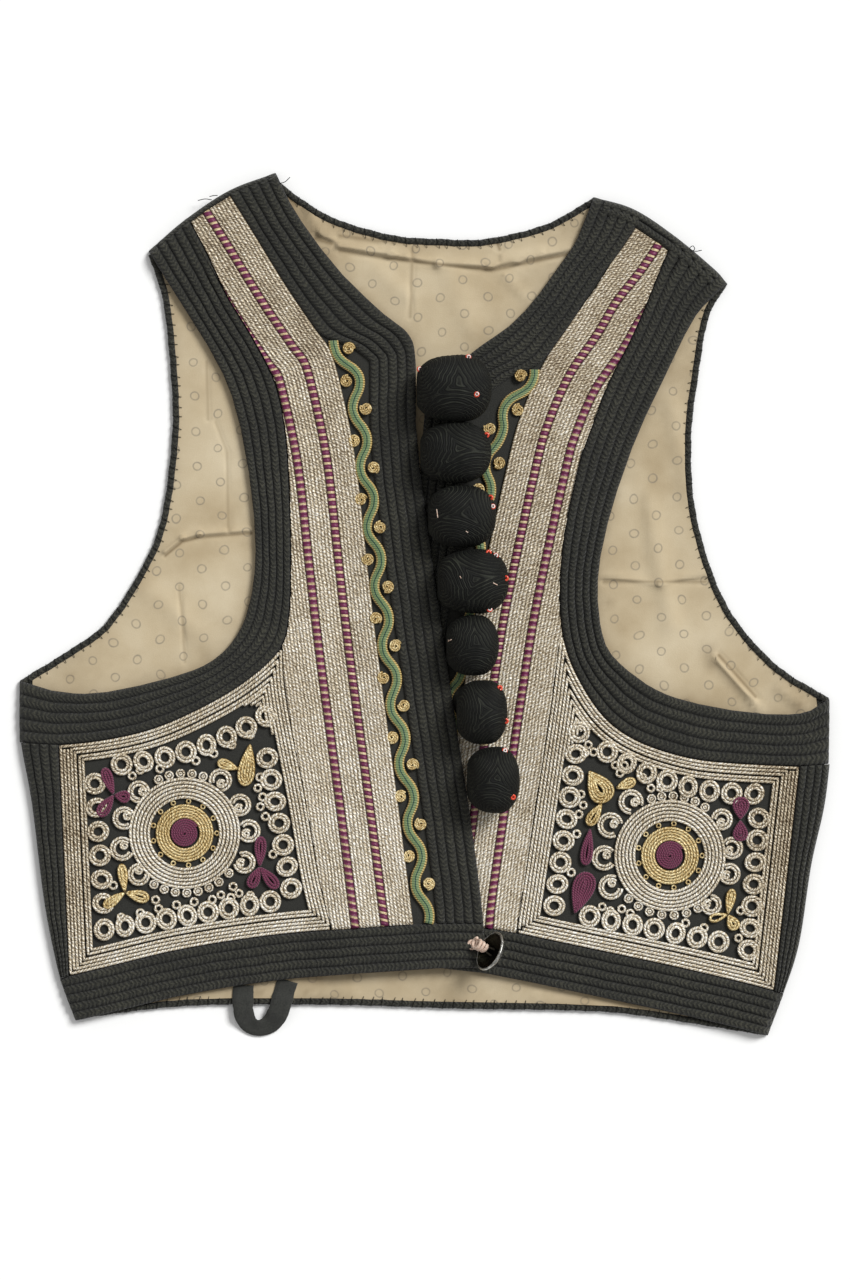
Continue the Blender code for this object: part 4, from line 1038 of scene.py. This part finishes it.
medallion = {"pitch": 1.85 * mm, "cord": 1.8 * mm, "leftCentre": (-128.5 * mm, -121.5 * mm),
             "rightCentre": (131 * mm, -133.5 * mm), "purpleTo": 7.4 * mm, "giltTo": 15.8 * mm,
             "more": {"left": (1, 3, 2, 1), "right": (1, 3, 2, 2)}, "gap": 0.5 * mm,
             "tip": (26, 16, 7), "archCord": 1.8 * mm,
             "arches": {"left": ((138, 33, 5.4), (166, 33.4, 5.6), (194, 34.5, 5.9), (222, 33, 5.4), (56, 34.2, 5.6),
                                 (27, 33.2, 5.4), (2, 34.4, 5.6), (-26, 35.5, 5.4)),
                        "right": ((126, 35.5, 6.1), (153, 35.8, 6.3), (182, 35.2, 6.1), (208, 35.8, 6.1),
                                  (35, 33.8, 5.2), (7, 33.3, 5.4), (-17, 33.3, 5.2), (-50, 34.2, 5.0))},
             "loopAngles": {"left": (72, 83, 94, 105, 116, 239, 250, 261, 272, 283, 294, 305, 318),
                            "right": (54, 65, 76, 87, 98, 108, 226, 238, 250, 262, 274, 286, 298)},
             "loopsAt": 17.2 * mm, "silverFrom": 19.3 * mm, "silverTo": 29.0 * mm}
# Rows of eyelets. Columns: first across, up, last across, up, bow out of line
eyeletRows = {
    "left": table("""
        -162.2  -84.7  -85.3  -59.1 4.6
         -84.4  -81.3  -71.6 -151   0
         -82.7 -158   -171.5 -173   0
        -176.5  -95   -172   -159   0"""),
    "right": table("""
          82.3  -67.5   69.1 -160.3 0
          97.4  -78    176   -100.5 6.2
         178.5 -113.5  173   -184   0
          88   -165.9  157   -179.5 0""")}
eyeletCounts = {"left": (8, 7, 9, 6), "right": (9, 8, 7, 7)}
# Petals of the leaves. Columns: number of the leaf, across, up, turn in degrees, length, width
petals = {"left": (("purple", "gold", "purple", "gold"), """
              1 -166.4 -101.0  110 15.5 6.4
              1 -166.4 -101.0  -10  9.0 7.0
              1 -166.4 -101.0 -125 14.0 7.5
              2  -93.4  -73.6  -98 23.0 9.5
              2  -99.7  -87.3  160 12.0 6.0
              3  -88.3 -139.5   88 16.5 6.8
              3  -88.3 -139.5 -115 12.5 7.0
              3  -88.3 -139.5  -50 15.0 7.0
              4 -160.4 -153.1   97 15.5 5.6
              4 -160.4 -153.1 -145 14.0 6.0
              4 -160.4 -153.1  -15 13.5 7.0"""),
          "right": (("gold", "purple", "purple", "gold"), """
              1   87.5  -88.0  -58 19.5 14.0
              1  102.0  -97.5   22 11.5 6.2
              1   94.5 -105.5 -122 14.0 7.0
              2   88.3 -119.0  -98 20.0 7.0
              2   79.9 -164.5   71 23.5 12.5
              3  168.6 -114.4   88 12.5 9.5
              3  168.6 -114.4  -90 11.5 8.5
              4  161.9 -164.9   80 14.0 5.6
              4  161.9 -164.9  195 10.5 5.2
              4  161.9 -164.9  -60  9.5 7.0""")}
petalCord = {"across": 1.7 * mm, "step": 3.1 * mm, "over": 1.5 * mm}


def petalLine(at, angle, long, wide):
    t = 2 * pi * np.arange(22) / 22
    x = long * (1 - np.cos(t)) / 2
    y = wide / 2 * 1.35 * np.sin(t) * np.sin(t / 2) ** 1.2
    return np.stack([at[0] + x * cos(angle) - y * sin(angle), at[1] + x * sin(angle) + y * cos(angle)], 1)


def leafLines(side):
    # every cord of the leaves: each petal is cord laid round and round inside its outline
    made = []
    for number, x, y, degrees, long, wide in np.round(table(petals[side][1]) / mm, 1):
        angle = radians(degrees)
        for k in range(int(wide * mm / petalCord["step"]) + 1):
            less = (petalCord["across"] + k * petalCord["step"]) / mm
            if wide - less > 0.5:
                start = np.array([x, y]) * mm + toward(degrees) * less * 0.55 * mm
                made.append((int(number), petalLine(start, angle, (long - less) * mm, (wide - less) * mm)))
    return made


def panelLoop(f, top, side, foot, inner):
    turn = f["turn"]
    sides = [offsetLine(f["armClear"], -turn * top)[::-1], offsetLine(f["panel"], turn * inner),
             offsetLine(f["hemClear"], -turn * foot)[::-1], offsetLine(f["sideIn"], -turn * (side + 0.4 * mm))[::-1]]
    corners = [crossing(sides[i - 1], sides[i]) for i in range(4)]
    runs = []
    for i in range(4):
        a, b = corners[i], corners[(i + 1) % 4]
        first, last = nearestOn(sides[i], np.array([a, b]))[1]
        along = runOf(sides[i])
        keep = (along > first + 1 * mm) & (along < last - 1 * mm)
        runs.append(evenLine(np.vstack([a, sides[i][keep], b]), 1.6 * mm)[:-1])
    return runs


def onCloth(f, line, over):
    return np.column_stack([line, topOf(f, line) + cloth["lay"] + over])


def makeFrame(f):
    cord, half = medallion["pitch"], medallion["cord"] / 2 * 0.9
    made = []
    top, beside, foot, inner = medallion["more"][f["name"]]
    for i in range(4):
        step = (i + 0.5) * cord
        gap = medallion["gap"] if i > 1 else 0
        runs = panelLoop(f, step + top * cord + gap, step + beside * cord + gap, step + foot * cord + gap,
                         step + inner * cord)
        made.append(cordLine("loop", onCloth(f, np.vstack(runs), half), medallion["cord"], "silver", closed=True))
    for i in range(beside):
        step = (i + 0.5) * cord
        runs = panelLoop(f, min(step, (top - 0.5) * cord), step, min(step, (foot - 0.5) * cord),
                         min(step, max(inner - 0.5, 0.5) * cord))
        run = runs[3]
        if i < foot:
            run = np.vstack([runs[2], run])
        if i < top:
            run = np.vstack([run, runs[0]])
        if i < inner:
            made.append(cordLine("run", onCloth(f, runs[1], half), medallion["cord"], "silver"))
        made.append(cordLine("run", onCloth(f, run, half), medallion["cord"], "silver"))
    for i, reach in enumerate(medallion["tip"]):
        # short cords, bent double, fill the narrow corner by the armhole
        step = (i + 4.5) * cord
        runs = panelLoop(f, step + top * cord, step + beside * cord, step + foot * cord, step + inner * cord)
        run = np.vstack([runs[0][-max(int(reach * 0.6 / 1.6), 2):], runs[1][:max(int(reach / 1.6), 2)]])
        made.append(cordLine("tip", onCloth(f, run, half), medallion["cord"], "silver"))
    finish(joined(f["name"] + "PanelFrame", made), "silver_cord", "medallion_frame_" + f["name"])


def ringLine(centre, radius, squash=1.0, turn=0.0, count=None):
    count = count or max(10, int(2 * pi * radius / (1.2 * mm)))
    t = 2 * pi * np.arange(count) / count
    x, y = radius * np.cos(t), radius * squash * np.sin(t)
    return np.stack([centre[0] + x * cos(turn) - y * sin(turn), centre[1] + x * sin(turn) + y * cos(turn)], 1)


# Eyelets, and the small rings that link them. Links: share of the way to the next eyelet, how far in, radius
eyelet = {"cord": 2.0 * mm, "rings": (3.4 * mm, 5.2 * mm), "linkCord": 1.7 * mm, "clear": 2.9 * mm,
          "apart": 4.5 * mm, "fromMiddle": 36.5 * mm,
          "links": ((0.5, 6.6, 1.9), (0.0, 8.4, 1.8), (0.5, 11.0, 2.1), (0.0, 13.2, 1.9))}


def makeOpenwork(f):
    side, wide = f["name"], eyelet["cord"]
    made = []
    centre = np.array(medallion[side + "Centre"])
    placed = []
    # the leaves and the arches, with how far each reaches
    taken = [(np.array(point), 1.5 * mm) for number, line in leafLines(side) for point in line[::3]]
    for degrees, away, radius in medallion["arches"][side]:
        taken.append((centre + toward(degrees) * away * mm, (radius + 0.9) * mm))
    k = 0
    for row, count in zip(eyeletRows[side], eyeletCounts[side]):
        a, b = row[:2], row[2:4]
        way = (b - a) / np.hypot(*(b - a))
        for i in range(count):
            t = i / (count - 1)
            at = a + (b - a) * t + np.array([way[1], -way[0]]) * row[4] * 4 * t * (1 - t)
            k += 1
            oval, lean = 0.92 + 0.06 * sin(k * 2.1), np.arctan2(way[1], way[0]) + pi / 2 + 0.3 * sin(k)
            for radius in eyelet["rings"]:
                made.append(cordLine("eyelet", onCloth(f, ringLine(at, radius, oval, lean), wide / 2), wide,
                                     "silver", closed=True, sides=5))
            inward = centre - at
            inward /= np.hypot(*inward)
            for ahead, deep, radius in eyelet["links"]:
                small = at + (b - a) / (count - 1) * ahead + inward * deep * mm
                clear = np.hypot(*(small - centre)) > eyelet["fromMiddle"] and all(
                    np.hypot(*(small - point)) > eyelet["clear"] + reach for point, reach in taken)
                clear = clear and all(np.hypot(*(small - other)) > eyelet["apart"] for other in placed)
                if (ahead == 0 or i < count - 1) and clear:
                    placed.append(small)
                    made.append(cordLine("link", onCloth(f, ringLine(small, radius * mm), wide / 2),
                                         eyelet["linkCord"],
                                         "silver", closed=True, sides=5))
    finish(joined(side + "Eyelets", made), "silver_cord", "openwork_" + side)


def makeRosette(f):
    side = f["name"]
    centre = np.array(medallion[side + "Centre"])
    high = topOf(f, centre[None])[0] + cloth["lay"] + 0.7 * mm
    made = [cordLine("spiral", curlLine(centre, medallion["purpleTo"], 1.35 * mm, high, 0.5), 1.5 * mm, "purple")]
    purple = joined(side + "RosetteHeart", made)
    finish(purple, "purple_cord")
    rings = []
    for r in np.arange(medallion["purpleTo"] + 1.35 * mm, medallion["giltTo"], 1.5 * mm):
        rings.append(cordLine("ring", onCloth(f, ringLine(centre, r), 0.8 * mm), 1.6 * mm, "gold", closed=True))
    for i in range(13):
        angle = 2 * pi * i / 13
        at = centre + medallion["loopsAt"] * np.array([cos(angle), sin(angle)])
        rings.append(cordLine("loop", onCloth(f, ringLine(at, 1.15 * mm, count=8), 0.6 * mm), 1.0 * mm, "gold",
                              closed=True, sides=5))
    finish(joined(side + "RosetteGilt", rings), "gold_cord", "rosette_" + side)
    rings = []
    for r in np.linspace(medallion["silverFrom"], medallion["silverTo"], 6):
        rings.append(cordLine("ring", onCloth(f, ringLine(centre, r), 0.8 * mm), 1.85 * mm, "silver", closed=True))
    for degrees, away, radius in medallion["arches"][side]:
        out = toward(degrees)
        across = np.array([-out[1], out[0]])
        at = centre + out * away * mm
        t = np.linspace(-0.8 * pi, 0.8 * pi, 24)
        for r in (radius * mm, (radius - 1.75) * mm):
            line = at + r * (np.cos(t)[:, None] * out + np.sin(t)[:, None] * across)
            rings.append(cordLine("arch", onCloth(f, line, 0.9 * mm), medallion["archCord"], "silver", sides=5))
        curl = curlLine(at - out * 1.6 * mm - across * 1.4 * mm, 2.4 * mm, 1.3 * mm,
                        topOf(f, at[None])[0] + cloth["lay"] + 0.8 * mm, 0.5)
        rings.append(cordLine("curl", curl, 1.5 * mm, "silver", sides=5))
    for degrees in medallion["loopAngles"][side]:
        out = toward(degrees)
        for r, over in ((2.1 * mm, 0.7 * mm), (0.7 * mm, 0.5 * mm)):
            line = ringLine(centre + out * 31.9 * mm, r, count=10)
            rings.append(cordLine("ring", onCloth(f, line, over), 1.3 * mm, "silver", closed=True, sides=5))
    finish(joined(side + "RosetteSilver", rings), "silver_cord", "scallops_" + side)


def makeLeaves(f):
    side = f["name"]
    colours = petals[side][0]
    made = {}
    for number, line in leafLines(side):
        made.setdefault(number, []).append(
            cordLine("petal", onCloth(f, line, petalCord["over"]), petalCord["across"], colours[number - 1],
                     closed=True, sides=5))
    for number, pieces in made.items():
        finish(joined("%sLeaf%d" % (side, number), pieces), colours[number - 1] + "_cord",
               "leaf_%s_%d" % (side, number))


for f in (left, right):
    makeFrame(f)
    makeOpenwork(f)
    makeRosette(f)
    makeLeaves(f)
print("medallions worked")


# Cords round the back, and their overcast stitches

edgeCord = {"wide": 3.6 * mm, "step": 1.2 * mm, "uneven": 0.25 * mm, "sides": 10}


def makeBackCords():
    wide, step = edgeCord["wide"], edgeCord["step"]
    for name, node, inward in (("neck", "neck_cord", 1), ("leftArm", "left_armhole_cord", -1),
                               ("rightArm", "right_armhole_cord", 1), ("hem", "hem_cord", -1)):
        line = evenLine(offsetLine(smoothLine(table(backLines[name])), inward * wide * 0.45), step)
        along = np.arange(len(line)) * step
        line = offsetLine(line, 0, 2)
        line += edgeCord["uneven"] * np.stack([wobble(along, 3, 17 * mm), wobble(along, 6, 13 * mm)], 1)
        high = wide / 2 * 0.9 + 0.05 * mm
        path = np.column_stack([line, np.full(len(line), high)])
        piece = cordLine(node.replace("_", ""), path, wide, "wool", sides=edgeCord["sides"])
        finish(piece, "wool_braid", node)


makeBackCords()


# Ball buttons: cloth balls stuffed hard and wound with thread

# Columns: up, length, width, and the turn of the winding in degrees
ballRows = ((115.5, 40, 35.6, 35), (81.5, 38, 32.2, 60), (47.5, 36, 33, 20), (13, 38, 34, 75), (-21, 28, 32, 40),
            (-56.5, 27, 34.4, 65), (-92.5, 28, 35, 30))
ballShape = {"flat": 0.84, "widest": 0.56, "neck": 0.32, "fullness": 2.25, "edgeGap": 0.4 * mm,
             "rest": 7.5 * mm, "along": 60, "around": 76, "ridge": 0.15 * mm, "ridgePitch": 1.9, "fill": 0.95}
balls = []


def ballProfile(t):
    # half width at share t of the length, against the half width at the widest
    w, neck = ballShape["widest"], ballShape["neck"]
    t = np.clip(t, 0, 1)
    power = ballShape["fullness"]
    return np.where(t > w, np.maximum(1 - np.clip((t - w) / (1 - w), 0, 1) ** power, 1e-6) ** (1 / power),
                    neck + (1 - neck) * np.maximum(1 - np.clip(1 - t / w, 0, 1) ** power, 0) ** (1 / power))


def ballPoint(x, y, sink=0.0):
    # the place on the nearest ball's upper side that is seen from above at x, y
    best = None
    for start, up, long, wide, tall in balls:
        t = (x - start) / long
        s = float(ballProfile(t))
        q = (y - up) / (wide / 2 * s)
        miss = max(abs(q), abs(2 * t - 1))
        if best is None or miss < best[0]:
            t, q = min(max(t, 0.04), 0.985), min(max(q, -0.93), 0.93)
            s = float(ballProfile(t))
            high = ballShape["rest"] + tall / 2 * (1 if t > ballShape["widest"] else s)
            best = (miss, (start + long * t, up + q * wide / 2 * s,
                           high + tall / 2 * s * (1 - q * q) ** 0.5 - sink))
    return np.array(best[1])


def makeBalls():
    for number, (up, long, wide, turnOf) in enumerate(ballRows, 1):
        up, long, wide = up * mm, long * mm, wide * mm
        tall, rest = wide * ballShape["flat"], ballShape["rest"]
        neck = ballShape["neck"] * wide / 2
        edge = left["front"]
        start = max(np.interp(-(up + s * neck), -edge[:, 1], edge[:, 0]) for s in (-1, 1)) + ballShape["edgeGap"]
        balls.append((start, up, long, wide, tall))
        # closer rows at both ends, so that they round off
        t = (1 - np.cos(np.linspace(0.12, pi, ballShape["along"]))) / 2
        size = ballProfile(t)
        centre = rest + tall / 2 * np.where(t > ballShape["widest"], 1, size)
        turns = 2 * pi * np.arange(ballShape["around"]) / ballShape["around"]
        points = np.dstack([np.repeat((start + long * t)[:, None], len(turns), 1),
                            up + np.cos(turns)[None] * wide / 2 * size[:, None],
                            centre[:, None] + np.sin(turns)[None] * tall / 2 * size[:, None]])
        # thread wound round three poles by turns, and the nearest layer shows
        lean = radians(turnOf)
        middle = np.array([start + long * ballShape["widest"], up, rest + tall / 2])
        unit = (points - middle) / np.array([long * 0.5, wide / 2, tall / 2])
        poles = np.array([[cos(lean), sin(lean), 0.3], [cos(lean + 2), sin(lean + 2), 0.3],
                          [cos(lean + 4), sin(lean + 4), 0.45]])
        reach = np.stack([np.linalg.norm(unit - p / np.linalg.norm(p), axis=2) for p in poles])
        phase = reach.min(0) * wide / 2 / mm
        phase = phase + 0.9 * wobble(points[..., 1] + points[..., 2], number, 23 * mm)
        out = unit / np.maximum(np.linalg.norm(unit, axis=2), 1e-6)[..., None]
        ridge = ballShape["ridge"] * np.sin(phase * 2 * pi / ballShape["ridgePitch"])
        lump = 0.35 * mm * wobble(points[..., 0] - points[..., 2], number + 3, 31 * mm)
        points = points + out * ((ridge + lump) * size[:, None])[..., None]
        points[..., 2] = np.maximum(points[..., 2], rest)
        uv = np.dstack([phase, np.full(phase.shape, 0.5)])
        piece = wovenMesh("ballButton%d" % number, points, np.concatenate([uv, uv[:, :1]], 1), "thread")
        finish(piece, "black_thread", "ball_button_%d" % number)


makeBalls()
print("ball buttons wound")

# Glass beads sewn to the balls. Columns: across, up
beads = table("""
    -4.8 123.8\n23.0 136.1\n27.3 111.5\n37.5 120.1\n32.7 95.4\n34.8 70.2\n35.9 52.5\n33.8 31.1
    42.9 14.5\n34.3 -4.3\n39.7 -22.0\n42.9 -61.1\n42.3 -75.0\n46.6 -101.3""")
beadSize = {"across": 3.3 * mm, "wall": 1.25 * mm, "lip": 0.75 * mm, "sides": 10}
# Ends of light thread caught on the balls. Columns: across, up, to across, up
lint = table("6.2 51\n6.8 46.5\n21.6 39.4\n22.8 38.6\n18.4 15.6\n19.2 14.4\n36 12\n38.4 10.8\n10 -20\n14 -18")


def makeBeads():
    red, white = [], []
    for number, (x, y) in enumerate(beads):
        at = ballPoint(x, y, -0.2 * mm)
        radius = (beadSize["across"] - beadSize["wall"]) / 2
        t = 2 * pi * np.arange(beadSize["sides"]) / beadSize["sides"]
        lean = 0.5 * sin(number * 2.3)
        way = number * 1.9
        flat = np.stack([radius * np.cos(t), radius * np.sin(t)], 1)
        high = at[2] + lean * (flat[:, 0] * cos(way) + flat[:, 1] * sin(way))
        red.append(cordLine("bead", np.column_stack([at[:2] + flat, high]), beadSize["wall"], "red", closed=True,
                            sides=8))
        # only some beads show their white lining
        if number % 3 == 0 or number < 3:
            white.append(cordLine("lip", np.column_stack([at[:2] + flat * 0.8 + 0.2 * mm, high + 0.42 * mm]),
                                  beadSize["lip"], "white", closed=True, sides=6))
    finish(joined("coralBeads", red))
    finish(joined("milkBeadLips", white))
    ends = []
    for a, b in zip(lint[::2], lint[1::2]):
        line = np.array([ballPoint(*(a + (b - a) * t), -0.15 * mm) for t in np.linspace(0, 1, 5)])
        ends.append(cordLine("lint", line, 0.5 * mm, "pink", sides=5))
    finish(joined("threadEnds", ends), "pink_thread")


makeBeads()

# The metal button stands almost on its edge, at the foot of the closing
button = {"centre": (34.6 * mm, -183.5 * mm, 21.6 * mm), "across": 22 * mm, "deep": 5.2 * mm, "rim": 1.4 * mm,
          "lean": radians(118), "turn": radians(-28), "around": 64}
shank = {"foot": (26.6 * mm, -179.6 * mm, 13.0 * mm), "cord": 2.0 * mm, "coil": 2.7 * mm, "turns": 3,
         "eye": 1.8 * mm, "wire": 1.1 * mm}


def makeButton():
    deselect()
    radius = button["across"] / 2
    # half section from the middle of the domed face, round the rolled rim, to the middle of the hollow back
    t = np.linspace(0, 1, 16)
    face = np.stack([(radius - 0.4 * mm) * np.sin(t * pi / 2), button["deep"] * np.cos(t * pi / 2) ** 1.4], 1)
    roll = np.linspace(radians(60), radians(-160), 9)
    rim = np.stack([radius - button["rim"] / 2 + button["rim"] / 2 * np.cos(roll),
                    button["rim"] / 2 * np.sin(roll) - 0.1 * mm], 1)
    back = np.stack([(radius - 1.6 * mm) * np.cos(t * pi / 2),
                     -0.2 * mm + (button["deep"] - 1.3 * mm) * np.sin(t * pi / 2) ** 1.4], 1)
    section = np.vstack([face, rim, back])
    section[0, 0] = section[-1, 0] = 0
    turns = 2 * pi * np.arange(button["around"]) / button["around"]
    points = np.stack([section[:, :1] * np.cos(turns), section[:, :1] * np.sin(turns),
                       np.repeat(section[:, 1:], len(turns), 1)], 2)
    axis = np.array([sin(button["lean"]) * cos(button["turn"]), sin(button["lean"]) * sin(button["turn"]),
                     cos(button["lean"])])
    side = np.array([-sin(button["turn"]), cos(button["turn"]), 0])
    third = np.cross(side, axis)
    points = points @ np.array([side, third, axis]) + np.array(button["centre"])
    # radius in millimetres along, below 0 in the hollow
    hollow = np.where(np.arange(len(section)) < len(face) + len(rim) - 2, 1, -1)[:, None]
    uv = np.stack([np.repeat(hollow * section[:, :1] / mm, len(turns) + 1, 1),
                   np.repeat(0.5 + 0.4 * np.cos(np.append(turns, turns[0]))[None], len(section), 0)], 2)
    disc = wovenMesh("disc", points, uv, "metal")
    foot = np.array(shank["foot"])
    top = np.array(button["centre"]) + axis * (button["deep"] * 0.45)
    # a wire eye in the hollow holds the thread
    reach = (top - foot) * 0.5
    t = np.linspace(0, pi, 14)[:, None]
    eye = cordLine("eye", top + side * shank["eye"] * np.cos(t) - reach * np.sin(t), shank["wire"], "wire")
    finish(joined("metalButton", [disc, eye]), "white_metal", "metal_button")
    top = top - reach * 0.9
    t = np.linspace(0, 1, 60)
    angle = 2 * pi * shank["turns"] * t
    line = foot + (top - foot) * t[:, None] + shank["coil"] * (
        np.cos(angle)[:, None] * side + np.sin(angle)[:, None] * third) * (1 - 0.3 * t[:, None])
    coil = cordLine("coil", line, shank["cord"], "pink", sides=7)
    knot = curlLine(foot[:2] - (1.2 * mm, 1.4 * mm), 2.9 * mm, 1.6 * mm, shank["foot"][2] - 2.6 * mm, 0.4)
    finish(joined("threadShank", [coil, cordLine("knot", knot, 1.4 * mm, "pink", sides=7)]), "pink_thread",
           "thread_shank")


makeButton()

# The loop of tape comes out between the two hems, crosses the back's edge and turns on the table
tape = {"path": """-97.2 -203\n-97.4 -210\n-97 -217.5\n-94.2 -223.8\n-88.8 -226\n-82.6 -223.4\n-78.4 -217
    -76 -209\n-73.6 -200.5""", "wide": 11.2 * mm, "thick": 1.1 * mm, "under": 2.75 * mm, "over": 4.1 * mm,
        "down": 0.75 * mm}


def makeTape():
    path = smoothLine(table(tape["path"]), 1.2 * mm)
    ways, out = waysOf(path)
    y = path[:, 1]
    # under the front, over the cord of the back's edge, then down to the table
    high = tape["down"] + (tape["over"] - tape["down"]) * ease((y + 225 * mm) / (7 * mm))
    high += (tape["under"] - tape["over"]) * ease((y + 211 * mm) / (5 * mm))
    # the tape is creased where it turns, so its inner edge stands up
    turned = np.exp(-((path[:, 0] + 89.5 * mm) / (6 * mm)) ** 2) * (y < -215 * mm)
    share = np.array([-1, -0.97, -0.5, 0, 0.5, 0.97, 1, 0.97, 0.5, 0, -0.5, -0.97]) / 2
    lift = np.array([0, 1, 1, 1, 1, 1, 0, -1, -1, -1, -1, -1]) / 2
    wide = tape["wide"] * (1 - 0.22 * turned) * (1 + 0.04 * wobble(y, 2, 9 * mm))
    x = path[:, None] + out[:, None] * (share[None] * wide[:, None])[..., None]
    inner = np.clip(-share * 2, 0, 1)[None] * turned[:, None]
    z = high[:, None] + lift[None] * tape["thick"] + inner * 2.6 * mm
    points = np.dstack([x, z])
    across = np.append(share, share[0]) + 0.5
    uv = np.stack(np.meshgrid(runOf(path) / mm, across, indexing="ij"), 2)
    piece = wovenMesh("tapeLoop", points, uv, "tape")
    finish(piece, "black_tape", "tape_loop")


makeTape()


# Hand stitches over the back's cords, and loose ends at the shoulders

# Points of each loose thread, across and up, in millimetres
looseEnds = (((-114, 217.2), (-117.5, 217.6), (-121.4, 216.8)), ((-111, 219.6), (-113, 219.4), (-115.2, 218.9)),
             ((-78.5, 226), (-75, 226.6), (-72.2, 229.2)),
             ((141, 189.6), (144.2, 190.4), (143.3, 192.6), (141.4, 191), (144.4, 189.6), (148, 190.2)))


stitch = {"apart": 5.5 * mm, "from": -0.3 * mm, "to": 4.8 * mm, "wide": 0.42 * mm,
          "heights": np.array([2.2, 3.5, 3.75, 3.5, 2.8, 2.45]) * mm}
looseThread = {"low": 5.2 * mm, "rise": 1.2 * mm, "wide": 0.45 * mm}


def makeStitches():
    made = []
    for name in ("neck", "leftArm", "rightArm", "hem"):
        line = evenLine(smoothLine(table(backLines[name])), stitch["apart"])
        inward = 1 if name in ("neck", "rightArm") else -1
        ways, out = waysOf(line)
        out = out * inward
        t = np.linspace(stitch["from"], stitch["to"], len(stitch["heights"]))
        for i in range(1, len(line) - 1):
            lean = ways[i] * (1.2 + 0.8 * sin(i * 2.7)) * mm
            flat = line[i] + out[i] * t[:, None] + lean * (t / t[-1])[:, None]
            made.append(cordLine("stitch", np.column_stack([flat, stitch["heights"]]), stitch["wide"], "thread",
                                 sides=4))
    finish(joined("overcastStitches", made), "black_thread")
    ends = []
    for path in looseEnds:
        line = smoothLine(np.array(path) * mm, 1 * mm)
        high = looseThread["low"] + looseThread["rise"] * np.sin(np.linspace(0, 2.6, len(line)))
        ends.append(cordLine("end", np.column_stack([line, high]), looseThread["wide"], "thread", sides=5))
    finish(joined("looseThreadEnds", ends), "black_thread")


makeStitches()
print("beads, button, loop and stitches made")


# Camera, light and floor

view = {"middle": (0.3 * mm, -18.2 * mm), "tall": 686.1 * mm, "away": 2.4, "sensor": 36.0,
        "sunAt": (0.9, 0.8, 1.15), "sunPower": 2.9, "sunSoft": radians(22), "sky": 0.44}


def makeStudio():
    deselect()
    bpy.ops.mesh.primitive_plane_add(size=floorSize["across"], location=(0, 0, floorSize["low"]))
    floor = bpy.context.object
    floor.name = "floor"
    material, tree, surface = newMaterial("paleBoard", Roughness=0.9)
    surface.inputs["Base Color"].default_value = linear("#fbfbfa")
    floor.data.materials.append(material)
    bpy.ops.object.light_add(type="SUN", location=view["sunAt"])
    sun = bpy.context.object
    sun.data.energy, sun.data.angle = view["sunPower"], view["sunSoft"]
    sun.rotation_euler = Vector([-c for c in view["sunAt"]]).to_track_quat("-Z", "Y").to_euler()
    world = bpy.data.worlds.new("studio")
    world.use_nodes = True
    world.node_tree.nodes["Background"].inputs[0].default_value = linear("#ffffff")
    world.node_tree.nodes["Background"].inputs[1].default_value = view["sky"]
    bpy.context.scene.world = world
    bpy.context.scene.view_settings.view_transform = "Standard"
    bpy.ops.object.camera_add(location=(*view["middle"], view["away"]), rotation=(0, 0, 0))
    camera = bpy.context.object
    camera.data.sensor_width = view["sensor"]
    camera.data.sensor_fit = "AUTO"
    camera.data.lens = view["sensor"] * view["away"] / view["tall"]
    camera.data.clip_end = 20
    bpy.context.scene.camera = camera


makeStudio()
print("studio set")
